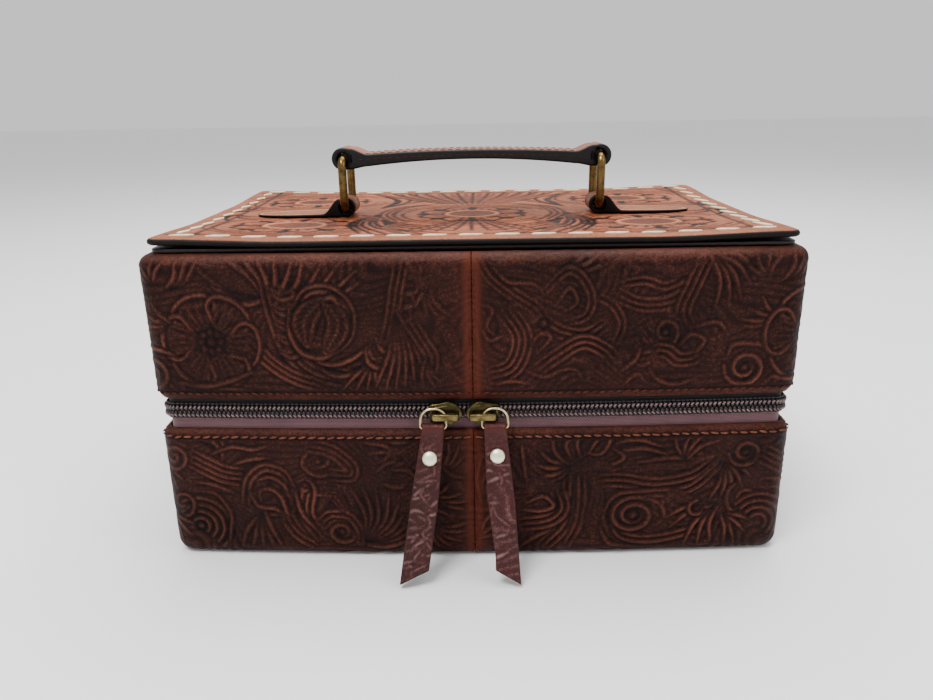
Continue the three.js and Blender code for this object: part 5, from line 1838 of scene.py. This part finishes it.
class Pull:
    """One slider with its wire ring, leather pull and rivet."""

    def __init__(self, palette: Palette, side: Side, size: PullSize = PullSize()) -> None:
        """Keeps the finishes, side and sizes."""
        self.palette, self.side, self.size = palette, side, size
        self.nose = size.nose + side.value * size.half_gap
        self.pivot = (self.nose + side.value * size.ring_offset, size.ring_y, size.ring_z)

    def build(self) -> None:
        """Makes every piece of this pull."""
        self.slider()
        self.ring()
        self.tab()
        self.rivet()
        LOG.info("pull %s", self.side.label)

    def slider(self) -> None:
        """The slider's body with its raised rim, rear plate and bridge."""
        s, flip = self.size, self.side.value
        upper = [(-s.length * along, half) for along, half in (
            (1.0, s.tail_half), (0.86, s.tail_half + 0.15), (0.72, s.tail_half + 0.35),
            (0.58, s.half_height - 0.25), (0.46, s.half_height), (0.34, s.half_height * 0.93),
            (0.22, s.half_height * 0.74), (0.12, s.half_height * 0.5), (0.04, s.half_height * 0.22))]
        outline = upper + [(x, -z) for x, z in reversed(upper)]
        centre = (-s.length * 0.52, 0.0)
        inner = [(centre[0] + (x - centre[0]) * 0.8, z * 0.74) for x, z in outline]
        mirror = Matrix.Translation((self.nose, 0, Z.zip_line)) @ Matrix.Diagonal((-flip, 1, 1, 1))
        body = prism("slider_body", outline, -s.plate_y - s.plate, -s.plate_y, self.palette.bronze, 0.45, 3)
        face = prism("slider_face", inner, -s.plate_y - 0.3, -s.plate_y + 0.3, self.palette.bronze, 0.28, 2)
        rear = prism("slider_rear", inner, -s.plate_y - s.rear_far, -s.plate_y - s.rear_near,
                     self.palette.bronze,
                     0.3, 2)
        post = prism("slider_post", [(-3.2, -0.3), (-0.9, -0.25), (-0.9, 0.25), (-3.2, 0.3)],
                     -s.plate_y - 6.9,
                     -s.plate_y - 0.6, self.palette.bronze, 0.1, 1)
        x0, x1 = -s.length + s.tail_margin, -s.length + s.tail_margin + s.bridge_length
        y0, y1 = s.plate_y + s.plate / 2, s.bridge_y
        staple = [(x0, y0), (x0, y1 + 0.35), (x0 + 0.25, y1 - 0.1), (x0 + 0.8, y1 - 0.45),
                  (x1 - 0.8, y1 - 0.45),
                  (x1 - 0.25, y1 - 0.1), (x1, y1 + 0.35), (x1, y0), (x1 - 1.2, y0), (x1 - 1.2, y1 + 0.75),
                  (x0 + 1.2, y1 + 0.75), (x0 + 1.2, y0)]
        bridge = prism("slider_bridge", staple, -1.25, 1.25, self.palette.brass, 0.35, 2)
        for piece in (body, face, rear, post):
            transformed(piece, mirror @ UPRIGHT)
        transformed(bridge, mirror)
        main = joined(f"slider_{self.side.label}_body", [body, face, rear, post])
        place(outward(main), f"slider_{self.side.label}", "antique_brass", f"slider_{self.side.label}")
        bridge.name = f"slider_{self.side.label}_bridge"
        place(outward(bridge), f"slider_{self.side.label}", "antique_brass")

    def ring(self) -> None:
        """The bent wire that joins slider and pull."""
        s = self.size
        half = s.span / 2
        line = [*arc(-half + 1, 1, 1, 180, 270, 5), *arc(half - 1, 1, 1, 270, 360, 5),
                *arc(half - 4, s.rise - 4, 4, 0, 90, 9), *arc(-half + 4, s.rise - 4, 4, 90, 180, 9)]
        points = np.array([(x, 0, z) for x, z in line])
        points = points[np.r_[True, np.linalg.norm(np.diff(points, axis=0), axis=1) > 1e-4]]
        tilt = np.array(Matrix.Rotation(math.radians(-s.tilt), 3, "X"))
        points = points @ tilt.T + np.array(self.pivot)
        piece = swept_loop(f"pull_ring_{self.side.label}_wire", points, s.wire, 12, self.palette.pale_brass)
        place(piece, f"pull_ring_{self.side.label}", "pale_brass", f"pull_ring_{self.side.label}")

    def creases(self, shape: TabShape) -> Relief:
        """The folds that use has pressed into the leather, painted along the pull; the pull's colour takes a painted
        highlight on their ridges and painted shade in their hollows from them.
        """
        rng = seeded(shape.seed)
        relief = Relief(26, -58, 4, 0.3, -14)
        relief.flow(2.9, 0.22)
        for k in range(52):
            z = -3 - 53 * k / 52 + rng.normal(0, 0.8)
            lean, x = rng.normal(0.2, 0.45), rng.uniform(-10, 2)
            width = rng.uniform(3, 11)
            points = [(x - width / 2, z - lean * width / 2), (x, z + rng.normal(0, 0.7)),
                      (x + width / 2, z + lean * width / 2)]
            relief.paint(Stroke(points, rng.uniform(0.9, 1.8), Mark.RIDGE, rng.uniform(0.3, 1.0)))
        for k in range(8):
            z = -8 - 44 * k / 8 + rng.normal(0, 2)
            x = rng.uniform(-8, 3)
            relief.paint(Stroke([(x, z + 3), (x + rng.normal(0, 2), z), (x + rng.normal(0, 3), z - 4)], 1.1,
                                Mark.RIDGE, 0.5))
        relief.soften(0.35)
        return relief

    def tab(self) -> None:
        """The leather pull: folded over the wire, creased and slightly wavy."""
        s, shape = self.size, TABS[self.side]
        relief = self.creases(shape)
        tip_l, tip_r = shape.left[-1], shape.right[-1]
        drop = np.linspace(0, 1, 110)
        left = np.stack([np.interp(drop * s.left_run, [-p[1] for p in shape.left],
                                   [p[0] for p in shape.left]),
                         drop * tip_l[1]], 1)
        right = np.stack([np.interp(drop * -tip_r[1], [-p[1] for p in shape.right],
                                    [p[0] for p in shape.right]),
                          drop * tip_r[1]], 1)
        across, rows, shades, seams = 22, [], [], []
        fold = [(s.eye * math.sin(a), s.eye * math.cos(a)) for a in np.radians((84, 66, 48, 32, 16))]
        for rise, half in fold:
            ring = section_ring(s.fold_half, -half, half, across, 0.4)
            rows.append([(x, -y, rise) for x, y in ring])
            shades.append(np.full(len(ring), 0.42))
            seams.append(np.full(len(ring), 0.75))
        for (xl, zl), (xr, zr) in zip(left, right):
            t = -0.5 * (zl + zr)
            half = s.tab_wall + (s.eye - s.tab_wall) * float(1 - smoothstep(0.0, 3.2, np.array(t)))
            ring = section_ring(0.5, -half, half, across, 0.35 / 8)
            ring[:, 0] = np.clip(ring[:, 0] / 0.5, -1, 1)
            f = (ring[:, 0] + 1) / 2
            x, z = xl + (xr - xl) * f, zl + (zr - zl) * f
            edge = 1 - np.abs(ring[:, 0])
            bend = relief.sample(x, z) * smoothstep(1.0, 4.0, t) * smoothstep(0.0, 0.12, edge)
            wave = 0.25 * np.sin(t / 5.3 + self.side.value) * smoothstep(8, 20,
                                                                         t) + 0.2 * np.sin(x * 0.6 + t / 7)
            y = -ring[:, 1] * (0.75 + 0.25 * smoothstep(0, 0.1, edge)) - 0.42 * bend * np.sign(ring[:, 1]) \
                - wave * smoothstep(6, 16, t)
            rows.append(np.stack([x, y, z], 1))
            # Painted highlight on the crease ridges and painted shade in their hollows.
            shades.append(np.clip(0.38 + 0.85 * np.maximum(bend, 0) + 0.3 * np.minimum(bend, 0), 0, 1))
            seams.append(0.75 * (1 - smoothstep(0, 3, t)) * np.ones(len(x))
                         + 0.2 * (1 - smoothstep(8, 34, t)))
        rings = np.array([np.asarray(row) for row in rows])
        turn = np.array(Matrix.Rotation(math.radians(-s.slope), 3, "X"))
        rings = rings @ turn.T + np.array(self.pivot)
        piece = lofted(f"pull_tab_{self.side.label}_leather", rings, self.palette.tab,
                       {"relief": np.array(shades), "seam": np.array(seams)})
        place(piece, f"pull_tab_{self.side.label}", "tab_leather", f"pull_tab_{self.side.label}")

    def rivet(self) -> None:
        """A domed rivet through both layers of the pull."""
        s, shape = self.size, TABS[self.side]
        front = s.tab_wall + 0.2
        dome = [(2.62 * math.cos(a), front + 0.25 + 1.35 * math.sin(a))
                for a in np.radians(np.linspace(0, 90, 10))]
        profile = [(0, -front - 0.5), (1.9, -front - 0.5), (2.1, -front - 0.3), (2.1, -front),
                   (0.9, -front + 0.1),
                   (0.9, front), (2.45, front), *dome[:-1], (0, dome[-1][1])]
        piece = lathe(f"pull_rivet_{self.side.label}_cap", profile, self.palette.silver)
        slope = Matrix.Rotation(math.radians(-s.slope), 4, "X")
        matrix = (Matrix.Translation(self.pivot) @ slope
                  @ Matrix.Translation((shape.rivet[0], 0, shape.rivet[1])) @ UPRIGHT)
        place(transformed(piece, matrix), f"pull_tab_{self.side.label}", "rivet_metal",
              f"pull_rivet_{self.side.label}")


# ---------------------------------------------------------------- handle


@dataclass(frozen=True)
class HandleSize:
    """Sizes of the handle, its rings and the leather tongues that hold them."""

    ring_x: float = 51.2
    centre_y: float = -11.5
    wire: float = 1.7
    leg_span: float = 21.0
    ring_corner: float = 3.2
    hole: float = 2.2
    width: float = 16.4
    neck: float = 13.6
    eye: float = 4.4
    loop: float = 3.7
    chape_length: float = 38.0
    tongue: float = 1.5
    tip_radius: float = 6.0
    low: float = 118.9
    top_mid: float = 2.95
    top_end: float = 1.8
    low_mid: float = -0.65
    low_end: float = -3.0
    arch_end: float = 10.0
    stitch_y: float = 6.6

    def arch(self, x: float) -> tuple[float, float]:
        """The strap's top and bottom at x, above the rings' upper bars."""
        t = min(1.0, abs(x) / (self.ring_x - self.arch_end))
        return (self.top_mid + (self.top_end - self.top_mid) * t * t,
                self.low_mid + (self.low_end - self.low_mid) * t * t)


class Handle:
    """The strap handle, its two rings and the tongues on the lid."""

    def __init__(self, palette: Palette, size: HandleSize = HandleSize()) -> None:
        """Keeps the finishes and sizes."""
        self.palette, self.size = palette, size

    def build(self) -> None:
        """Makes the handle and what holds it."""
        for side in Side:
            self.ring(side)
            self.chape(side)
        self.strap()
        LOG.info("handle")

    def ring(self, side: Side) -> None:
        """A rectangular ring of round bar."""
        s = self.size
        height = (Z.ring_top - Z.ring_bar) / 2
        flat = rounded_rectangle(s.leg_span / 2, height, s.ring_corner, 8)
        line = np.array([(side.value * s.ring_x, s.centre_y + y, Z.ring_bar + height + z) for y, z in flat])
        piece = swept_loop(f"handle_ring_{side.label}_bar", line, s.wire, 20, self.palette.olive_brass)
        place(piece, f"ring_{side.label}", "antique_brass", f"handle_ring_{side.label}")

    def eye(self, name: str, x: float, z: float, outer: float, width: float,
            material: bpy.types.Material) -> bpy.types.Object:
        """A rolled leather eye round a ring's bar, along Y."""
        s = self.size
        h, c = width / 2, 0.5
        profile = [(s.hole, -h), (outer - c, -h), (outer - 0.15, -h + 0.15), (outer, -h + c), (outer, -h / 2),
                   (outer, 0), (outer, h / 2), (outer, h - c), (outer - 0.15, h - 0.15), (outer - c, h),
                   (s.hole, h)]
        piece = lathe(name, profile, material, closed=True)
        transformed(piece, Matrix.Translation((x, s.centre_y, z)) @ UPRIGHT)
        y = np.array([v.co.y / MM for v in piece.data.vertices]) - s.centre_y
        paint_value(piece, "relief", 0.5)
        return paint_value(piece, "seam", smoothstep(h - 1.0, h - 0.4, np.abs(y)))

    def strap(self) -> None:
        """The strap: a slightly arched strip with dark edges, a stitched border and an eye at each end."""
        s = self.size
        xs = np.r_[-s.ring_x + 0.4, np.linspace(-s.ring_x + 3.2, s.ring_x - 3.2, 150), s.ring_x - 0.4]
        rings, shades, seams = [], [], []
        for x in xs:
            top, low = s.arch(x)
            if abs(x) > s.ring_x - s.arch_end:
                k = smoothstep(s.ring_x - s.arch_end, s.ring_x - 2.5, np.array(abs(x)))
                top, low = top + (s.eye - 0.25 - top) * k, low + (-s.eye + 0.3 - low) * k
            ring = section_ring(s.width / 2, low, top, 40, 0.7)
            crown = 0.22 * (1 - (ring[:, 0] / (s.width / 2)) ** 2)
            groove = 0.16 * np.exp(-((np.abs(ring[:, 0]) - s.stitch_y) / 0.35) ** 2)
            upper = ring[:, 1] > (top + low) / 2
            z = ring[:, 1] + np.where(upper, crown - groove, 0)
            rings.append(np.stack([np.full(len(z), x), s.centre_y + ring[:, 0], Z.ring_top + z], 1))
            edge = smoothstep(7.35, 7.85, np.abs(ring[:, 0]))
            seams.append(np.maximum(edge, np.where(upper, 0.0, 0.55)))
            shades.append(0.52 + 0.1 * np.sin(x / 9.0) * np.cos(ring[:, 0] / 4) - 1.6 * groove)
        body = lofted("strap_body", np.array(rings), self.palette.strap,
                      {"relief": np.array(shades), "seam": np.array(seams)})
        eyes = [self.eye("strap_eye", sign * s.ring_x, Z.ring_top, s.eye, s.width, self.palette.strap)
                for sign in (-1, 1)]
        place(joined("handle_strap_leather", [body, *eyes]), "handle", "strap_leather", "handle_strap")
        self.strap_stitches()

    def strap_stitches(self) -> None:
        """Stitches along both borders of the strap, and the line of shine on its edges."""
        s = self.size
        places, edges = [], []
        for x in np.arange(-s.ring_x + 7, s.ring_x - 6.5, 3.0):
            z = Z.ring_top + s.arch(x)[0]
            for sign in (-1, 1):
                places.append(frame_matrix((x, s.centre_y + sign * s.stitch_y, z + 0.05),
                                           (1, sign * 0.06, 0), (0, 0, 1)))
                edges.append(frame_matrix((x, s.centre_y + sign * (s.width / 2 + 0.02), z - 2.1),
                                          (1, 0, 0.08),
                                          (0, sign, 0)))
        top = many("handle_strap_stitches", stitch("strap_stitch", 2.3, 0.34, self.palette.dark_thread),
                   places)
        place(top, "handle", "strap_leather")
        place(many("handle_strap_edge_stitches", stitch("edge_stitch", 2.2, 0.2, self.palette.dark_thread),
                   edges),
              "handle", "strap_leather")

    def chape(self, side: Side) -> None:
        """A tongue of doubled leather whose loop holds the ring's lower bar."""
        s, sign = self.size, side.value
        tip = s.chape_length
        xs = np.r_[np.linspace(1.5, tip - s.tip_radius, 60),
                   tip - s.tip_radius + s.tip_radius * np.sin(np.radians(np.linspace(4, 89, 22)))]
        rings, shades, seams = [], [], []
        for x in xs:
            past = max(0.0, x - (tip - 4.0 * s.tip_radius)) / (4.0 * s.tip_radius)
            half = s.width / 2 * math.sqrt(max(1 - past ** 2.1, 0.004))
            half -= (s.width - s.neck) / 2 * float(1 - smoothstep(4.5, 11.0, np.array(x)))
            rise = s.tongue * (1 - 0.55 * x / tip)
            swell = float(1 - smoothstep(3.0, 9.5, np.array(x)))
            high = s.low + rise + (Z.ring_bar + s.loop - 0.3 - s.low - rise) * swell
            ring = section_ring(half, s.low, high, 40, 0.6)
            inner = np.minimum(half - np.abs(ring[:, 0]), max(tip - x, 0.0) * 1.2)
            top = ring[:, 1] > (s.low + high) / 2
            groove = np.exp(-((inner - 3.0) / 0.28) ** 2) * (x > 9)
            z = ring[:, 1] - np.where(top, 0.16 * groove, 0)
            rings.append(np.stack([np.full(len(z), sign * (s.ring_x + x)), s.centre_y + ring[:, 0], z], 1))
            border = (inner < 2.6) & (inner > 0.7) & top & (x > 9)
            dots = 0.22 * np.sin(2 * math.pi * x / 1.3) * np.sin(2 * math.pi * ring[:, 0] / 1.3)
            shades.append(np.where(border, 0.72 + dots, 0.5 - 0.45 * groove))
            seams.append(np.where(top, 1 - smoothstep(0.1, 0.7, inner), 1.0))
        tongue = lofted("tongue", np.array(rings), self.palette.tongue,
                        {"relief": np.array(shades), "seam": np.array(seams)})
        eye = self.eye("tongue_eye", sign * s.ring_x, Z.ring_bar, s.loop, s.neck, self.palette.tongue)
        place(joined(f"chape_{side.label}_tongue", [tongue, eye]), "lid", "strap_leather",
              f"chape_{side.label}")


# ---------------------------------------------------------------- inside and underneath


@dataclass(frozen=True)
class InsideSize:
    """Sizes of the underside's leather and of the ring rolls."""

    sheet_reach: float = 5.4
    rolls: int = 5
    roll_seed: int = 50
    roll_points: int = 48
    roll_steps: int = 60


class Inside:
    """What shows when the lid is open, and the underside."""

    def __init__(self, palette: Palette, size: InsideSize = InsideSize()) -> None:
        """Keeps the finishes and sizes."""
        self.palette, self.size = palette, size

    def build(self) -> None:
        """Makes the inside."""
        nodes = frame["nodes"]
        for name, node in nodes.items():
            if name.endswith("_board"):
                self.paint(node, self.palette.board)
            elif name.endswith("_lining"):
                self.paint(node, self.palette.suede)
        self.paint(nodes["mirror"], self.palette.mirror)
        self.underside()
        self.dividers()
        self.ring_rolls()
        self.mirror_frame()
        LOG.info("inside")

    @staticmethod
    def paint(node: bpy.types.Object, material: bpy.types.Material) -> None:
        """Gives a CAD node its finish."""
        node.data.materials.clear()
        node.data.materials.append(material)

    def underside(self) -> None:
        """Leather on the base's underside."""
        low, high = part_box("base_bottom_leather")
        reach = self.size.sheet_reach
        outline = rounded_rectangle(high.x / MM + reach, high.y / MM + reach, 1.5)
        piece = prism("base_bottom_leather_sheet", outline, low.z / MM, high.z / MM, self.palette.embossed,
                      0.2)
        paint_value(piece, "relief", 0.4)
        place(piece, "base", "embossed_leather", "base_bottom_leather")

    def wall(self, name: str) -> None:
        """A divider covered in suede, with a soft top edge."""
        low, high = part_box(name)
        outline = [(low.x / MM, low.y / MM), (high.x / MM, low.y / MM), (high.x / MM, high.y / MM),
                   (low.x / MM, high.y / MM)]
        piece = prism(f"{name}_cover", outline, low.z / MM, high.z / MM, self.palette.suede, 1.1, 4)
        place(piece, "base", "suede_lining", name)

    def dividers(self) -> None:
        """The four dividers."""
        for name in ("divider_long", "divider_front", "divider_back_left", "divider_back_right"):
            self.wall(name)

    def ring_rolls(self) -> None:
        """Soft rolls that hold rings between them."""
        size = self.size
        angle = np.linspace(0, 2 * math.pi, size.roll_points, endpoint=False)
        cos, sin = np.cos(angle), np.sin(angle)
        for k in range(1, size.rolls + 1):
            low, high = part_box(f"ring_roll_{k}")
            x0, x1, y0, y1 = low.x / MM, high.x / MM, low.y / MM, high.y / MM
            half, mid, z0, z1 = (y1 - y0) / 2, (y0 + y1) / 2, low.z / MM, high.z / MM
            phase = seeded(size.roll_seed + k).uniform(0, 6.28, 3)
            ends = np.array([0.0, 0.5, 1.6])
            xs = np.r_[x0 + ends, np.linspace(x0 + 3.4, x1 - 3.4, size.roll_steps), x1 - ends[::-1]]
            rings = []
            for x in xs:
                end = min(x - x0, x1 - x)
                full = math.sqrt(max(0.0, 1 - (1 - min(end / 3.0, 1.0)) ** 2)) * 0.35 + 0.65
                sag = 0.25 * math.sin(x / 13 + phase[0]) + 0.12 * math.sin(x / 5 + phase[1])
                y = (half - 0.15) * full * np.sign(cos) * np.abs(cos) ** 0.8
                tall = np.where(sin > 0, (z1 - z0) * 0.6, (z1 - z0) * 0.4)
                z = z0 + (z1 - z0) * 0.4 + tall * sin * np.where(sin > 0, full, 1.0)
                z = z + np.where(sin > 0.2, sag - 0.25, 0)
                rings.append(np.stack([np.full(size.roll_points, x), mid + y, np.minimum(z, z1)], 1))
            piece = lofted(f"ring_roll_{k}_cushion", np.array(rings), self.palette.cushion)
            place(piece, "base", "ring_cushion", f"ring_roll_{k}")

    def mirror_frame(self) -> None:
        """Leather frame round the mirror."""
        low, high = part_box("mirror_frame")
        _, inner_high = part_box("mirror")
        rings = []
        outer = rounded_rectangle(high.x / MM, high.y / MM, 4, 8)
        inner = rounded_rectangle(inner_high.x / MM + 0.2, inner_high.y / MM + 0.2, 1.2, 8)
        bottom, top = low.z / MM, high.z / MM
        for (ox, oy), (ix, iy) in zip(outer, inner):
            section = [(0.0, top), (0.0, bottom + 0.8), (0.1, bottom + 0.25), (0.3, bottom), (0.7, bottom),
                       (0.9, bottom + 0.25), (1.0, bottom + 0.8), (1.0, top)]
            rings.append([(ox + (ix - ox) * t, oy + (iy - oy) * t, z) for t, z in section])
        rings = np.array(rings)
        faces = grid_faces(len(rings), rings.shape[1], wrap_rows=True, wrap_columns=True)
        piece = mesh_object("mirror_frame_leather", rings.reshape(-1, 3), faces, self.palette.strap,
                            {"relief": np.full(rings.shape[0] * rings.shape[1], 0.5)})
        place(outward(piece), "lid", "strap_leather", "mirror_frame")


# ---------------------------------------------------------------- stage


@dataclass(frozen=True)
class Lamp:
    """A square soft lamp: its power in watts, its side in metres, where it hangs and what it points at."""

    name: str
    energy: float
    size: float
    spot: tuple[float, float, float]
    aim: tuple[float, float, float]


@dataclass(frozen=True)
class StageSize:
    """Floor, surround and camera; the camera's place is in millimetres, its angles in degrees."""

    floor: float = 12.0
    floor_drop: float = 0.0002
    surround: float = 0.85
    camera: tuple[float, float, float] = (2.5, -329.6, 162.5)
    yaw: float = -1.04
    pitch: float = 18.06
    roll: float = 0.96
    lens: float = 29.29
    sensor: float = 36.0
    near: float = 0.01
    far: float = 50.0


STAGE = StageSize()
LAMPS = (Lamp("stage_key", 11.0, 0.4, (-0.3, -0.5, 1.0), (0, 0, 0.06)),
         Lamp("stage_top", 15.0, 0.9, (0.1, 0.3, 1.1), (0, 0, 0.1)),
         Lamp("stage_side", 2.0, 0.6, (0.8, -0.45, 0.7), (0, 0, 0.06)))


class Stage:
    """Floor, light and camera."""

    def build(self) -> None:
        """Makes the stage."""
        self.floor()
        self.lights()
        self.camera()

    @staticmethod
    def floor() -> None:
        """A large, flat, pale floor."""
        n = Nodes("stage_floor")
        material = n.finish((0.9, 0.9, 0.9), 0.7)
        bpy.ops.mesh.primitive_plane_add(size=STAGE.floor)
        floor = bpy.context.active_object
        floor.name = "stage_floor"
        floor.data.transform(Matrix.Translation((0, 0, -STAGE.floor_drop)))
        floor.data.materials.append(material)

    @staticmethod
    def lights() -> None:
        """Large soft lamps above and beside, and an even pale surround."""
        world = bpy.data.worlds.new("stage_world")
        world.use_nodes = True
        background = world.node_tree.nodes["Background"]
        background.inputs["Color"].default_value = (1.0, 1.0, 1.0, 1.0)
        background.inputs["Strength"].default_value = STAGE.surround
        bpy.context.scene.world = world
        for lamp in LAMPS:
            data = bpy.data.lights.new(lamp.name, "AREA")
            data.energy, data.size = lamp.energy, lamp.size
            lamp_object = bpy.data.objects.new(lamp.name, data)
            direction = Vector(lamp.aim) - Vector(lamp.spot)
            lamp_object.location = lamp.spot
            lamp_object.rotation_euler = direction.to_track_quat("-Z", "Y").to_euler()
            bpy.context.collection.objects.link(lamp_object)

    @staticmethod
    def camera() -> None:
        """The camera in front of the case, a little above its top."""
        yaw, pitch, roll = (math.radians(a) for a in (STAGE.yaw, STAGE.pitch, STAGE.roll))
        forward = Vector((math.sin(yaw) * math.cos(pitch), math.cos(yaw) * math.cos(pitch), -math.sin(pitch)))
        right = Vector((math.cos(yaw), -math.sin(yaw), 0))
        down = forward.cross(right)
        x_axis = math.cos(roll) * right + math.sin(roll) * down
        y_axis = math.sin(roll) * right - math.cos(roll) * down
        data = bpy.data.cameras.new("stage_camera")
        data.lens, data.sensor_width = STAGE.lens, STAGE.sensor
        data.clip_start, data.clip_end = STAGE.near, STAGE.far
        camera = bpy.data.objects.new("stage_camera", data)
        matrix = Matrix((x_axis, y_axis, -forward)).transposed().to_4x4()
        matrix.translation = Vector(STAGE.camera) * MM
        camera.matrix_world = matrix
        bpy.context.collection.objects.link(camera)
        bpy.context.scene.camera = camera


def main() -> None:
    """Builds every visible piece of the case, then the stage."""
    logging.basicConfig(level=logging.INFO, format="%(name)s: %(message)s")
    palette = Palette()
    Shell(palette).build()
    TopPanel(palette).build()
    Zip(palette).build()
    for side in Side:
        Pull(palette, side).build()
    Handle(palette).build()
    Inside(palette).build()
    Stage().build()
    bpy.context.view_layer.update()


if __name__ == "__main__":
    main()
